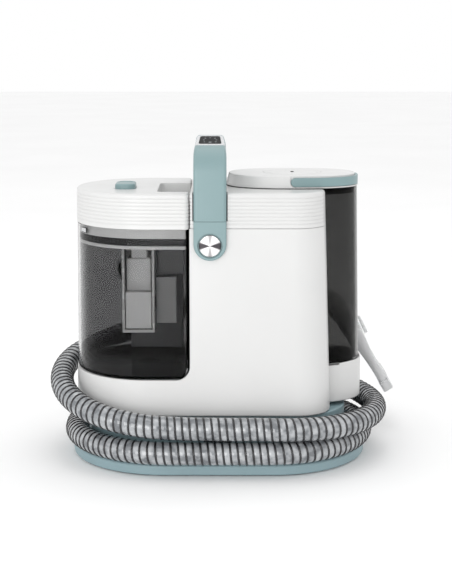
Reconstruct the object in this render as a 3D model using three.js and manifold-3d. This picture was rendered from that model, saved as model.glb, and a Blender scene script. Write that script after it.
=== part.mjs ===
// Spot extractor: a portable carpet and upholstery washer with a dirty-water tank on the left,
// a clean-water tank on the right, a carrying handle between them and a suction hose that is
// wound twice round the waist of the base. Millimetres, +Z up, -Y is the front, origin at the
// middle of the base on the surface that the feet stand on.
import * as THREE from 'three';
import { mergeVertices } from 'three/addons/utils/BufferGeometryUtils.js';
import Module from 'manifold-3d';

const wasm = await Module();
wasm.setup();

// ---------- driving dimensions ----------
const GAP = 0.3;                    // clearance between pieces that touch
const WALL = 3;                     // moulded wall thickness
const TANK_WALL = 2.5;
const ARC_STEPS = 8;                // segments in a quarter turn of a large outline
const FAR = 400;                    // well past the object, for cutting tools

const BASE = { halfLength: 175, halfDepth: 114, bottom: 1.5, top: 14, cavityFloor: 8, endRadius: 113.9 };
const FOOT = { radius: 11, height: 4, x: 122, y: 62 };
const WAIST = {
  left: -153, right: 150, halfDepth: 84, top: 63.6, leftRadius: 78, rightRadius: 66, shelf: 119,
};
const HOSE_PORT = { z: 36, radius: 17 };
const BODY = { bottom: 64.2, halfDepth: 92, deckTop: 106.8, seam: 280.4, top: 320, endRadius: 88 };
const LEAN = { from: 60, left: -169.2, leftSlope: 0.0125, right: 130, rightSlope: 0.0375 };
const TOWER = { left: -32.2, cornerRadius: 38, sideRadius: 3 };
const CRADLE = { bottom: 68, top: 115, right: 170.3, halfDepth: 60, roomTop: 109 };
const BAY = { floor: 109, right: 118, drain: 12, sideWall: 2 };
const DECK = { thickness: 3.7, right: -50, eye: 14 };

const MOTOR = { x: -84, radius: 38, bottom: 10, shoulder: 55, top: 60, chamfer: 5, bore: 4 };
const HOUSING = { radius: 52, bottom: 62, shoulder: 92, top: 99, chamfer: 8, wall: 2.5, eye: 15, neck: 9 };
const FAN = {
  radius: 46, bottom: 68, top: 70, hubRadius: 10, hubTop: 86, shaftBottom: 42, shaftTop: 90, blades: 8,
};
const BLADE = { length: 32, thickness: 1.6, height: 17, middle: 28, z: 78, angle: 0.6 };
const DUCT = { left: -26, right: 4, wall: 2, bottom: 66 };
const INLET = { y: 55, z: 216, radius: 14, ductFront: 38, ductBack: 72, ductTop: 236 };
const OUTLET = { y: -10, z: 240, radius: 12, ductFront: -28, ductBack: 8, ductTop: 258 };
const SEAL = { rim: 4, left: -33.1 };
const PUMP = {
  left: 66, right: 118, halfDepth: 24, bottom: 10, top: 52, headHalfDepth: 20, headTop: 66, pipe: 6,
};
const SEAT = { bottom: 100, step: 104, shoulder: 108.6, top: 112.4, radius: 16, topRadius: 12, bore: 5 };
const BOARD = { left: 22, right: 100, front: -84, thickness: 1.6, bottom: 150, top: 250 };
const CHIPS = [                     // left, right, bottom, top and height above the board
  [30, 50, 160, 178, 10.4],
  [62, 78, 205, 235, 14.4],
  [84, 94, 165, 190, 7.4],
];
const GRILLE = { left: 22, right: 102, bottom: 196, top: 250, slats: 7, frame: 4, web: 2.4, proud: 0.6 };
const GLAND = { x: 96, z: 88, radius: 7, collar: 9, inner: 84, outer: 98, bore: 3.6 };
const DOCK = { x: 62, halfPlate: 18, halfWidth: 12, bottom: 132, shelf: 152, lip: 170, top: 188, reach: 104 };

const DIRTY = {
  right: -33.6, halfDepth: 91, bottom: 107.2, top: 278.9, endRadius: 87, cornerRadius: 16, spineRadius: 5,
};
const BADGE = { halfWidth: 6.5, halfHeight: 3, thickness: 1, z: 273.5, direction: -149, standOff: 0.9 };
const SEPARATOR = { left: -108, right: -44, front: 46, back: 81, bottom: 114, top: 240, wall: 2 };
const MOUTH = { x: -107, z: 212, front: 46.5, back: 66, radius: 19, bore: 16 };
const LID = { bottom: 279.3, top: 319, edgeRadius: 2.5, overhang: 0.6 };
const SKIRT = { bottom: 268.4, inset: 3 };
const LID_GASKET = { bottom: 260.4, top: 268.1, width: 5 };
const LID_FLOOR = { bottom: 256.6, top: 260.1 };
const BUTTON = {
  x: -107.5, y: -22, halfWidth: 11.6, halfDepth: 19, radius: 9, top: 325, flangeTop: 315.7, flange: 3,
  postTop: 297, postRadius: 7, springRadius: 6.5, springBore: 4.5,
};
const RECESS = { left: -69, front: -66, back: 27, floor: 306 };
const CAGE = {
  left: -110, right: -73.4, front: -66, back: -26, bottom: 157, floor: 160, top: 256.3, rail: 2.6,
};
const FLOAT = { left: -106.6, right: -76.8, front: -64, back: -29, bottom: 161, top: 204 };
const STEM = { front: -54, back: -36, top: 241, inset: 1 };
const STEM_TIP = { left: -100, right: -82, front: -51, back: -39, top: 256 };
const INTAKE = { left: -70, right: -40, front: -34, back: 40, bottom: 219, top: 256.3, wall: 2 };
const DEFLECTOR = { left: -72, right: -49, front: -46, back: -35, bottom: 164, top: 218, wall: 2 };

const OVAL = { x: 86.2, y: 5, halfWidth: 76, halfDepth: 54.5, exponent: 2.4, rightReach: 84.5, slope: 0.027 };
const CLEAN = { bottom: 113, top: 320.2, drain: 4 };
const CLEAN_LID = {
  bottom: 320.6, top: 334.5, overhang: 1, rim: 12, roof: 5, capRadius: 34, capDepth: 2, vent: 1.5,
};
const CLEAN_GASKET = { bottom: 313, inset: 2.9, width: 2.1 };
const BAIL = { x: 87, z: 327.6, halfHeight: 5, depth: 3.4, pinRadius: 2, pinDepth: 7 };
const VALVE = {
  bottom: 116.3, top: 132, radius: 12, bore: 9.5, springTop: 129, slotBottom: 120, slotTop: 124, halfSlot: 3,
};
const POPPET = { radius: 8.5, bottom: 116.4, top: 118.4, stemRadius: 3, stemBottom: 108 };
const VALVE_SPRING = { radius: 7, bore: 5 };

const HANDLE = { left: -28, right: 8.6, outer: 97.2, inner: 82, foot: 289.2, top: 381, crownRadius: 9 };
const HANDLE_X = (HANDLE.left + HANDLE.right) / 2;
const HANDLE_FOOT = { bottom: 245.2, radius: (HANDLE.right - HANDLE.left) / 2, recess: 2.2 };
const HANDLE_SLOT = { side: 1.2, inner: 74, outer: 100 };
const PANEL = {
  y: -48.5, z: 375.25, halfWidth: 15.6, halfLength: 21.5, radius: 5, depth: 1.7, proud: 0.4,
  tilt: THREE.MathUtils.radToDeg(Math.atan2(379.2 - 371.3, 45)),
};
const GLASS = { halfWidth: 12.8, halfLength: 17.3, radius: 3, depth: 0.6 };
const DISC = { z: 262, radius: 12.2, recessRadius: 13.8, proud: 0.8 };

// Side view of the arch as pairs of Y and Z. Four numbers are a curve: a control point, then its end.
const ARCH_OUTSIDE = [
  [-97.2, 340], [-97.2, 366.5, -71, 371.3], [-26, 379.2], [-14, 380.4, 12, 374], [62, 362, 84, 338],
  [97.2, 322, 97.2, 304],
];
const ARCH_INSIDE = [
  [82, 303], [82, 314, 72, 325], [54, 344, 14, 353], [-14, 359, -26, 357.5], [-66, 351.5],
  [-82, 348.5, -82, 334],
];
const PAD = { front: -62, back: 60, bottom: 300, backTop: 343, frontTop: 357, side: 5 };
const PAD_CROWN = [[50, 350, 14, 358], [-14, 364, -26, 362.5]];

const HOSE = {
  radius: 14, sides: 10, steps: 64, lowZ: 28.6, firstStep: 2, lastStep: 44, stepsPerTurn: 24,
  lowHalfLength: 171, lowRadius: 117.5, highHalfLength: 188, highRadius: 119.5,
};
const HOSE_WIDENS = [0.9, 1.2];      // turns between which the loop gets wider
const HOSE_RISES = [                // height gained, and the turns between which it is gained
  [36, 0.72, 1.0], [-10.5, 1.05, 1.25], [3.5, 1.28, 1.5], [60, 1.48, 1.98],
];
const HOSE_START = [48.3, 117.5, 30.6];
const HOSE_TAIL = [
  [-125, 104.5, 117.5], [-86, 117.5, 129], [-46, 121.5, 147], [-16, 122, 159.5], [8, 122, 165.5],
];
const ELBOW = {
  radius: 15, ringRadius: 16, path: [[0, 80, 36], [0, 96, 35.4], [9, 112.5, 33.4], [28, 117.4, 31.8]],
};
const ELBOW_RING = { from: [26, 117.5, 31.8], to: [46, 117.5, 30.6] };

const TOOL = { y: 122, gripRadius: 15, bendX: 118, bendZ: 163, bendRadius: 50, lean: 1.01 };
const GRIP_START = [[28.4, 122, 167], [60, 122, 166]];
const GRIP_BEND = [0.1, 0.35, 0.6, 0.8, TOOL.lean];
const CUFF = { from: [12.4, 122, 166.4], to: [26.8, 122, 167], radius: 15.8 };
const HOOK = { halfWidth: 8, front: 97, back: 110, tongueBack: 100.4, bottom: 157, top: 177, step: 171 };
const TRIGGER = { left: 60, right: 100, bottom: 147, top: 153, halfDepth: 6 };
const NOZZLE = { length: 92, halfThickness: 5.5, halfWidth: 42, wall: 2, neck: 13, neckStart: 1.5 };
const NOZZLE_THROAT = { along: 25.76, halfThickness: 10, halfWidth: 20 };
const LIP = { halfThickness: 6.5, overhang: 2, depth: 14, slit: 3 };
const SPRAY = { from: [17, 0, -12], to: [14, 0, -46], radius: 3.4 };
const NECK = {
  x: TOOL.bendX + TOOL.bendRadius * Math.sin(TOOL.lean),
  z: TOOL.bendZ - TOOL.bendRadius * (1 - Math.cos(TOOL.lean)),
};

// The side walls lean: both ends get a little narrower towards the top.
const leftEdge = (z) => LEAN.left + (z - LEAN.from) * LEAN.leftSlope;
const rightEdge = (z) => LEAN.right - (z - LEAN.from) * LEAN.rightSlope;
const tankRightReach = (z) => OVAL.rightReach - z * OVAL.slope;
const lidReach = tankRightReach(CLEAN.top);

// ---------- materials ----------
const MATERIALS = {
  white: { color: 0xf1f1ef, roughness: 0.35, metalness: 0 },
  teal: { color: 0xa4c1c6, roughness: 0.4, metalness: 0 },
  smoked: { color: 0x55565a, roughness: 0.1, metalness: 0, transparent: true, opacity: 0.6 },
  smokedDark: { color: 0x4a4a49, roughness: 0.1, metalness: 0, transparent: true, opacity: 0.8 },
  clear: { color: 0xd6d8da, roughness: 0.1, metalness: 0, transparent: true, opacity: 0.5 },
  lightGrey: { color: 0xb9babc, roughness: 0.4, metalness: 0 },
  darkGrey: { color: 0x2c2e33, roughness: 0.5, metalness: 0 },
  rubber: { color: 0x17181a, roughness: 0.8, metalness: 0 },
  hose: { color: 0x7d8085, roughness: 0.3, metalness: 0 },
  glass: { color: 0x0b0b0d, roughness: 0.05, metalness: 0 },
  silver: { color: 0xd4d5d8, roughness: 0.3, metalness: 0.9 },
  steel: { color: 0xa9adb2, roughness: 0.3, metalness: 1 },
  board: { color: 0x1f5c3a, roughness: 0.6, metalness: 0 },
};

// ---------- solids ----------
const signedVolume = (position, index) => {
  const a = new THREE.Vector3();
  const b = new THREE.Vector3();
  const c = new THREE.Vector3();
  let volume = 0;
  for (let i = 0; i < index.length; i += 3) {
    a.fromArray(position, index[i] * 3);
    b.fromArray(position, index[i + 1] * 3);
    c.fromArray(position, index[i + 2] * 3);
    volume += a.dot(b.cross(c)) / 6;
  }
  return volume;
};

// A closed three.js geometry becomes a solid that can be joined and cut.
const solidOf = (geometry) => {
  const bare = geometry.clone();
  bare.deleteAttribute('normal');
  bare.deleteAttribute('uv');
  const merged = mergeVertices(bare, 1e-3);
  const position = Float32Array.from(merged.attributes.position.array);
  const index = [];
  for (let i = 0; i < merged.index.count; i += 3) {
    const [a, b, c] = [0, 1, 2].map((k) => merged.index.getX(i + k));
    if (a !== b && b !== c && c !== a) {
      index.push(a, b, c);
    }
  }
  if (signedVolume(position, index) < 0) {
    index.reverse();
  }
  const triVerts = Uint32Array.from(index);
  return new wasm.Manifold(new wasm.Mesh({ numProp: 3, vertProperties: position, triVerts }));
};

const geometryOf = (solid) => {
  const mesh = solid.getMesh();
  const geometry = new THREE.BufferGeometry();
  geometry.setAttribute('position', new THREE.BufferAttribute(Float32Array.from(mesh.vertProperties), 3));
  geometry.setIndex(new THREE.BufferAttribute(Uint32Array.from(mesh.triVerts), 1));
  const faceted = geometry.toNonIndexed();
  faceted.computeVertexNormals();
  return faceted;
};

const join = (first, ...others) => others.reduce((sum, next) => sum.add(next), first);
const cut = (first, ...tools) => tools.reduce((left, tool) => left.subtract(tool), first);
const common = (first, ...others) => others.reduce((left, next) => left.intersect(next), first);

const block = (x0, x1, y0, y1, z0, z1) => {
  const geometry = new THREE.BoxGeometry(x1 - x0, y1 - y0, z1 - z0);
  geometry.translate((x0 + x1) / 2, (y0 + y1) / 2, (z0 + z1) / 2);
  return solidOf(geometry);
};

// A cylinder between two points.
const rod = (from, to, radius, sides = 20) => {
  const start = new THREE.Vector3(...from);
  const way = new THREE.Vector3(...to).sub(start);
  const geometry = new THREE.CylinderGeometry(radius, radius, way.length(), sides);
  geometry.applyQuaternion(new THREE.Quaternion().setFromUnitVectors(
    new THREE.Vector3(0, 1, 0), way.clone().normalize()));
  geometry.translate(...start.addScaledVector(way, 0.5).toArray());
  return solidOf(geometry);
};

// A profile of [radius, height] pairs turned about a vertical axis at x, y.
const turned = (profile, x, y, sides = 24) => {
  const geometry = new THREE.LatheGeometry(profile.map(([r, h]) => new THREE.Vector2(r, h)), sides);
  geometry.rotateX(Math.PI / 2);
  geometry.translate(x, y, 0);
  return solidOf(geometry);
};

// A shape drawn in the X-Z plane, pulled along Y, and one drawn in Y-Z, pulled along X.
const prismAlongY = (shape, y0, y1, steps) => {
  const depth = y1 - y0;
  const geometry = new THREE.ExtrudeGeometry(shape, { depth, bevelEnabled: false, curveSegments: steps });
  geometry.rotateX(Math.PI / 2);
  geometry.translate(0, y1, 0);
  return solidOf(geometry);
};
const prismAlongX = (shape, x0, x1, steps) => {
  const depth = x1 - x0;
  const geometry = new THREE.ExtrudeGeometry(shape, { depth, bevelEnabled: false, curveSegments: steps });
  geometry.rotateY(Math.PI / 2);
  geometry.rotateX(Math.PI / 2);
  geometry.translate(x0, 0, 0);
  return solidOf(geometry);
};

// Level outlines with the same number of points, stacked into a closed solid.
const stack = (rings) => {
  const count = rings[0].length;
  const position = rings.flat().flatMap((p) => [p.x, p.y, p.z]);
  const index = [];
  for (let level = 0; level + 1 < rings.length; level += 1) {
    for (let i = 0; i < count; i += 1) {
      const a = level * count + i;
      const b = level * count + ((i + 1) % count);
      index.push(a, b, b + count, a, b + count, a + count);
    }
  }
  const outline = rings[0].map((p) => new THREE.Vector2(p.x, p.y));
  const caps = THREE.ShapeUtils.triangulateShape(outline, []);
  const top = (rings.length - 1) * count;
  caps.forEach(([a, b, c]) => index.push(c, b, a, top + a, top + b, top + c));
  const geometry = new THREE.BufferGeometry();
  geometry.setAttribute('position', new THREE.Float32BufferAttribute(position, 3));
  geometry.setIndex(index);
  return solidOf(geometry);
};

// Cylinders along Z at x, y, and along Y and X through a point of the other two axes.
const post = (x, y, z0, z1, radius, sides = 20) => rod([x, y, z0], [x, y, z1], radius, sides);
const rodAlongY = (x, z, y0, y1, radius, sides = 20) => rod([x, y0, z], [x, y1, z], radius, sides);
const rodAlongX = (y, z, x0, x1, radius, sides = 20) => rod([x0, y, z], [x1, y, z], radius, sides);

const sleeve = (x, y, z0, z1, radius, bore, sides) => cut(
  post(x, y, z0, z1, radius, sides), post(x, y, z0 - 1, z1 + 1, bore, sides));

// A tube along a smooth curve through the points, with a round section.
const tubeAlong = (points, radius, steps, sides) => {
  const circle = new THREE.Shape(Array.from({ length: sides }, (_, i) => {
    const angle = (i / sides) * 2 * Math.PI;
    return new THREE.Vector2(radius * Math.cos(angle), radius * Math.sin(angle));
  }));
  const extrudePath = new THREE.CatmullRomCurve3(points, false, 'centripetal');
  return solidOf(new THREE.ExtrudeGeometry(circle, { steps, extrudePath, bevelEnabled: false }));
};

// ---------- outlines ----------
const point = (coordinates) => new THREE.Vector3(...coordinates);

// A box outline at height z whose two left corners and two right corners have their own radius.
const boxRing = (x0, x1, y0, y1, leftRadius, rightRadius, z, steps = ARC_STEPS) => {
  const corners = [
    [x0 + leftRadius, y0 + leftRadius, leftRadius, Math.PI],
    [x1 - rightRadius, y0 + rightRadius, rightRadius, 1.5 * Math.PI],
    [x1 - rightRadius, y1 - rightRadius, rightRadius, 0],
    [x0 + leftRadius, y1 - leftRadius, leftRadius, 0.5 * Math.PI],
  ];
  return corners.flatMap(([x, y, radius, start]) => Array.from({ length: steps + 1 }, (_, i) => {
    const angle = start + (i / steps) * 0.5 * Math.PI;
    return point([x + radius * Math.cos(angle), y + radius * Math.sin(angle), z]);
  }));
};

const bodyRing = (z, inset) => boxRing(leftEdge(z) + inset, rightEdge(z) - inset,
  -BODY.halfDepth + inset, BODY.halfDepth - inset,
  BODY.endRadius - inset, TOWER.cornerRadius - inset, z);

const towerRing = (z, inset) => boxRing(TOWER.left + inset, rightEdge(z) - inset,
  -BODY.halfDepth + inset, BODY.halfDepth - inset,
  TOWER.sideRadius + GAP, TOWER.cornerRadius - inset, z);

const dirtyRing = (z, inset) => boxRing(leftEdge(z) + 1 + inset, DIRTY.right - inset,
  -DIRTY.halfDepth + inset, DIRTY.halfDepth - inset,
  DIRTY.endRadius - inset, Math.max(DIRTY.spineRadius - inset, 1), z);

const waistRing = (z, inset) => boxRing(WAIST.left + inset, WAIST.right - inset,
  -WAIST.halfDepth + inset, WAIST.halfDepth - inset,
  WAIST.leftRadius - inset, WAIST.rightRadius - inset, z);

const plateRing = (z) => boxRing(-BASE.halfLength, BASE.halfLength, -BASE.halfDepth, BASE.halfDepth,
  BASE.endRadius, BASE.endRadius, z, 12);

// The clean tank is a soft oval whose right-hand half leans out towards the bottom.
const ovalRing = (z, grow, rightReach = tankRightReach(z)) => {
  const count = 4 * ARC_STEPS + 4;
  const soft = (value) => Math.sign(value) * Math.abs(value) ** (2 / OVAL.exponent);
  return Array.from({ length: count }, (_, i) => {
    const angle = (i / count) * 2 * Math.PI;
    const reach = Math.cos(angle) > 0 ? rightReach : OVAL.halfWidth;
    return point([
      OVAL.x + (reach + grow) * soft(Math.cos(angle)),
      OVAL.y + (OVAL.halfDepth + grow) * soft(Math.sin(angle)), z]);
  });
};

const between = (ring, z0, z1, inset) => stack([ring(z0, inset), ring(z1, inset)]);
const hollow = (ring, z0, z1, inset, wall) => cut(
  between(ring, z0, z1, inset), between(ring, z0 - 1, z1 + 1, inset + wall));
const oval = (z0, z1, grow, reach) => stack([ovalRing(z0, grow, reach), ovalRing(z1, grow, reach)]);

// Adds straight lines and curves to a path, as the knots of the arch are written.
const trace = (path, knots) => knots.forEach((knot) => {
  if (knot.length === 2) {
    path.lineTo(...knot);
  } else {
    path.quadraticCurveTo(...knot);
  }
});

// ---------- the object ----------
const group = new THREE.Group();
group.name = 'spot_extractor';

const add = (name, solid, material) => {
  const mesh = new THREE.Mesh(geometryOf(solid), new THREE.MeshStandardMaterial(MATERIALS[material]));
  mesh.name = name;
  group.add(mesh);
};

// ---------- base ----------
const footPlaces = [-1, 1].flatMap((sx) => [-1, 1].map((sy) => [sx * FOOT.x, sy * FOOT.y]));

// A flat plate that the hose lies on and a hollow waist that it is wound round. The waist is open
// under the body, and has a shelf where it stands out to the right of it.
const makeBase = () => {
  const plate = between(plateRing, BASE.bottom, BASE.top, 0);
  const waist = between(waistRing, BASE.top - 1, WAIST.top, 0);
  const shelf = block(WAIST.shelf, FAR, -FAR, FAR, WAIST.top - WALL, FAR);
  const cavity = cut(between(waistRing, BASE.cavityFloor, WAIST.top + 1, WALL), shelf);
  const pockets = footPlaces.map(([x, y]) => post(x, y, -1, FOOT.height + GAP, FOOT.radius + GAP));
  const hosePort = rodAlongY(0, HOSE_PORT.z, 70, 90, HOSE_PORT.radius);
  return cut(join(plate, waist), cavity, hosePort, ...pockets);
};

add('base_plate', makeBase(), 'teal');
footPlaces.forEach(([x, y], i) => {
  add(`foot_${i + 1}`, post(x, y, 0, FOOT.height, FOOT.radius), 'rubber');
});

// ---------- body ----------
// The room that the clean tank needs: it opens the right side of the tower.
const cleanPocket = oval(CLEAN.bottom - 1, BODY.top + 5, 1.5, 110);

// A straight bar along Y whose upper left edge is hollowed by the rounded corner of the dirty tank.
const cornerBar = () => {
  const r = DIRTY.cornerRadius;
  const x = DIRTY.right + GAP;
  const z = DIRTY.bottom - GAP;
  const shape = new THREE.Shape();
  shape.moveTo(x - r, z - 1);
  shape.lineTo(x + 2, z - 1);
  shape.lineTo(x + 2, z + r);
  shape.lineTo(x, z + r);
  shape.absarc(x - r, z + r, r, 0, -Math.PI / 2, true);
  shape.closePath();
  return prismAlongY(shape, -BODY.halfDepth, BODY.halfDepth, 6);
};

// One wall round the base of both tanks and up the tower.
const makeShell = () => {
  const low = hollow(bodyRing, BODY.bottom, BODY.deckTop, 0, WALL);
  const high = hollow(towerRing, BODY.deckTop - 0.5, BODY.seam, 0, WALL);
  const bar = common(cornerBar(), between(bodyRing, BODY.bottom, BODY.seam, 0));
  const ports = [INLET, OUTLET].map(({ y, z, radius }) => rodAlongX(
    y, z, TOWER.left - 8, TOWER.left + 12, radius + SEAL.rim + GAP));
  return cut(join(low, high, bar), cleanPocket, ...ports);
};

const makeFrontShell = (shell) => common(shell, block(-FAR, FAR, -FAR, -GAP / 2, 0, FAR));

const makeRearShell = (shell) => {
  const half = common(shell, block(-FAR, FAR, GAP / 2, FAR, 0, FAR));
  const grille = block(GRILLE.left - GAP, GRILLE.right + GAP, BODY.halfDepth - 12, FAR,
    GRILLE.bottom - GAP, GRILLE.top + GAP);
  return cut(half, grille, rodAlongY(GLAND.x, GLAND.z, 80, 100, GLAND.radius + GAP));
};

// Ribbed cap of the tower, open over the clean tank and slotted for the two legs of the handle.
const makeTopCover = () => {
  const z0 = BODY.seam + GAP;
  const outer = stack([
    towerRing(z0, 0), towerRing(BODY.top - 3, 0), towerRing(BODY.top - 0.8, 0.9), towerRing(BODY.top, 3)]);
  const inner = between(towerRing, z0 - 1, BODY.top - WALL, WALL);
  const legs = block(HANDLE.left - HANDLE_SLOT.side, HANDLE.right + HANDLE_SLOT.side,
    -HANDLE_SLOT.outer, HANDLE_SLOT.outer, HANDLE.foot - GAP, FAR);
  const middle = block(-FAR, FAR, -HANDLE_SLOT.inner, HANDLE_SLOT.inner, 0, FAR);
  return cut(outer, inner, cleanPocket, cut(legs, middle));
};

// The wall behind the clean tank and the floor that the tank stands on.
const makeTankBay = () => {
  const outer = oval(BAY.floor, BODY.top - WALL - GAP, 1.5 + BAY.sideWall, 110);
  const pocket = oval(BAY.floor + WALL, BODY.top + 5, 1.5, 120);
  const inside = between(towerRing, BAY.floor - 1, BODY.top + 1, WALL + GAP);
  const left = block(-FAR, BAY.right, -FAR, FAR, 0, FAR);
  return cut(common(cut(outer, pocket), inside, left), post(OVAL.x, OVAL.y, 90, 120, BAY.drain + GAP));
};

// The part of the clean tank's seat that stands out beyond the tower.
const makeCradle = () => {
  const reach = CRADLE.right - OVAL.x;
  const grow = CRADLE.halfDepth - OVAL.halfDepth;
  const outer = oval(CRADLE.bottom, CRADLE.top, grow, reach - grow);
  const seat = stack([ovalRing(CLEAN.bottom - 0.6, 1), ovalRing(CRADLE.top + 1, 1)]);
  const room = oval(CRADLE.bottom - 1, CRADLE.roomTop, grow - WALL, reach - grow);
  const body = between(bodyRing, BODY.bottom - 1, BODY.seam, -GAP);
  return cut(outer, seat, room, body);
};

// The floor under the dirty tank.
const makeDeck = () => {
  const plate = between(bodyRing, BODY.deckTop - GAP - DECK.thickness, BODY.deckTop - GAP, WALL + GAP);
  const left = block(-FAR, DECK.right, -FAR, FAR, 0, FAR);
  return cut(common(plate, left), post(MOTOR.x, 0, 90, 120, DECK.eye));
};

const shell = makeShell();
add('front_shell', makeFrontShell(shell), 'white');
add('rear_shell', makeRearShell(shell), 'white');
add('top_cover', makeTopCover(), 'white');
add('tank_bay', makeTankBay(), 'lightGrey');
add('tank_cradle', makeCradle(), 'white');
add('tank_deck', makeDeck(), 'darkGrey');

// ---------- suction ----------
const makeMotor = () => cut(turned([
  [0, MOTOR.bottom], [MOTOR.radius, MOTOR.bottom], [MOTOR.radius, MOTOR.shoulder],
  [MOTOR.radius - MOTOR.chamfer, MOTOR.top], [0, MOTOR.top]], MOTOR.x, 0),
post(MOTOR.x, 0, 40, 70, MOTOR.bore + GAP, 12));

const housingProfile = (inset) => [
  [0, HOUSING.bottom + inset],
  [HOUSING.radius - inset, HOUSING.bottom + inset],
  [HOUSING.radius - inset, HOUSING.shoulder - inset / 2],
  [HOUSING.radius - HOUSING.chamfer - inset / 2, HOUSING.top - inset],
  [0, HOUSING.top - inset],
];

const makeHousing = () => cut(
  turned(housingProfile(0), MOTOR.x, 0),
  turned(housingProfile(HOUSING.wall), MOTOR.x, 0),
  post(MOTOR.x, 0, 90, 105, HOUSING.eye),
  post(MOTOR.x, 0, 55, 70, HOUSING.neck));

const makeFan = () => {
  const shaft = post(MOTOR.x, 0, FAN.shaftBottom, FAN.shaftTop, MOTOR.bore, 12);
  const disc = post(MOTOR.x, 0, FAN.bottom, FAN.top, FAN.radius, 24);
  const hub = post(MOTOR.x, 0, FAN.bottom, FAN.hubTop, FAN.hubRadius, 16);
  const blades = Array.from({ length: FAN.blades }, (_, i) => {
    const blade = new THREE.BoxGeometry(BLADE.length, BLADE.thickness, BLADE.height);
    blade.rotateZ(BLADE.angle);
    blade.translate(BLADE.middle, 0, BLADE.z);
    blade.rotateZ((i / FAN.blades) * 2 * Math.PI);
    blade.translate(MOTOR.x, 0, 0);
    return solidOf(blade);
  });
  return join(shaft, disc, hub, ...blades);
};

// A duct in the spine, closed at the top, with a round hole towards its port in the dirty tank.
const makeDuct = ({ y, z, radius, ductFront, ductBack, ductTop }) => cut(
  block(DUCT.left, DUCT.right, ductFront, ductBack, DUCT.bottom, ductTop),
  block(DUCT.left + DUCT.wall, DUCT.right - DUCT.wall, ductFront + DUCT.wall, ductBack - DUCT.wall,
    DUCT.bottom - 1, ductTop - DUCT.wall),
  rodAlongX(y, z, DUCT.left - 4, DUCT.left + 6, radius));

const makeSeal = ({ y, z, radius }) => cut(
  rodAlongX(y, z, SEAL.left, DUCT.left - GAP, radius + SEAL.rim),
  rodAlongX(y, z, SEAL.left - 7, DUCT.left + 6, radius));

add('motor', makeMotor(), 'steel');
add('fan_housing', makeHousing(), 'darkGrey');
add('fan', makeFan(), 'lightGrey');
add('inlet_duct', makeDuct(INLET), 'darkGrey');
add('air_duct', makeDuct(OUTLET), 'darkGrey');
add('inlet_seal', makeSeal(INLET), 'rubber');
add('outlet_seal', makeSeal(OUTLET), 'rubber');

// ---------- water and control ----------
// Pump body with a stepped corner, its head, and the pipe up to the seat of the tank's valve.
const makePump = () => {
  const body = block(PUMP.left, PUMP.right, -PUMP.halfDepth, PUMP.halfDepth, PUMP.bottom, PUMP.top);
  const step = block(PUMP.left - 1, PUMP.left + 8, -FAR, FAR, PUMP.top - 14, PUMP.top + 1);
  const head = block(PUMP.left + 10, PUMP.right - 4, -PUMP.headHalfDepth, PUMP.headHalfDepth,
    PUMP.top - 1, PUMP.headTop);
  const pipe = post(OVAL.x, OVAL.y, PUMP.headTop - 6, SEAT.bottom - 1, PUMP.pipe, 14);
  return join(cut(body, step), head, pipe);
};

const makeValveSeat = () => cut(
  join(post(OVAL.x, OVAL.y, SEAT.bottom, SEAT.shoulder, SEAT.radius),
    post(OVAL.x, OVAL.y, SEAT.step, SEAT.top, SEAT.topRadius)),
  post(OVAL.x, OVAL.y, 90, 120, SEAT.bore, 14));

// Board standing behind the front of the tower, with its taller parts on the back.
const makeBoard = () => {
  const back = BOARD.front + BOARD.thickness;
  const plate = block(BOARD.left, BOARD.right, BOARD.front, back, BOARD.bottom, BOARD.top);
  const chips = CHIPS.map(([x0, x1, z0, z1, height]) => block(x0, x1, back - 0.1, back + height, z0, z1));
  return join(plate, ...chips);
};

add('pump', makePump(), 'darkGrey');
add('valve_seat', makeValveSeat(), 'rubber');
add('control_board', makeBoard(), 'board');

// ---------- rear ----------
const makeGrille = () => {
  const pitch = (GRILLE.top - GRILLE.bottom) / GRILLE.slats;
  const slots = Array.from({ length: GRILLE.slats }, (_, i) => block(
    GRILLE.left + GRILLE.frame, GRILLE.right - GRILLE.frame, BODY.halfDepth - 12, FAR,
    GRILLE.bottom + pitch * i + GRILLE.web, GRILLE.bottom + pitch * (i + 1) - GRILLE.web));
  return cut(block(GRILLE.left, GRILLE.right, BODY.halfDepth - WALL, BODY.halfDepth + GRILLE.proud,
    GRILLE.bottom, GRILLE.top), ...slots);
};

const makeGland = () => {
  const face = BODY.halfDepth + GAP;
  return cut(
    join(rodAlongY(GLAND.x, GLAND.z, GLAND.inner, face, GLAND.radius),
      rodAlongY(GLAND.x, GLAND.z, face, GLAND.outer, GLAND.collar)),
    rodAlongY(GLAND.x, GLAND.z, 80, 110, GLAND.bore, 12));
};

// Plate on the rear shell with a shelf and a lip that the hand tool's hook hangs on.
const makeDock = () => {
  const front = BODY.halfDepth + GAP;
  const back = front + WALL;
  return join(
    block(DOCK.x - DOCK.halfPlate, DOCK.x + DOCK.halfPlate, front, back, DOCK.bottom, DOCK.top),
    block(DOCK.x - DOCK.halfWidth, DOCK.x + DOCK.halfWidth, back - GAP, DOCK.reach,
      DOCK.shelf - 2 * WALL, DOCK.shelf),
    block(DOCK.x - DOCK.halfWidth, DOCK.x + DOCK.halfWidth, DOCK.reach - WALL, DOCK.reach,
      DOCK.shelf - 1, DOCK.lip));
};

add('exhaust_grille', makeGrille(), 'darkGrey');
add('cord_gland', makeGland(), 'rubber');
add('tool_dock', makeDock(), 'white');

// ---------- handle ----------
// A rounded plate lying on the sloping control panel, between two depths below its surface.
const panelPlate = (halfWidth, halfLength, radius, low, high) => {
  const outline = (z) => boxRing(-halfWidth, halfWidth, -halfLength, halfLength, radius, radius, z, 4);
  return between(outline, low, high, 0).rotate([PANEL.tilt, 0, 0]).translate([HANDLE_X, PANEL.y, PANEL.z]);
};

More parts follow.
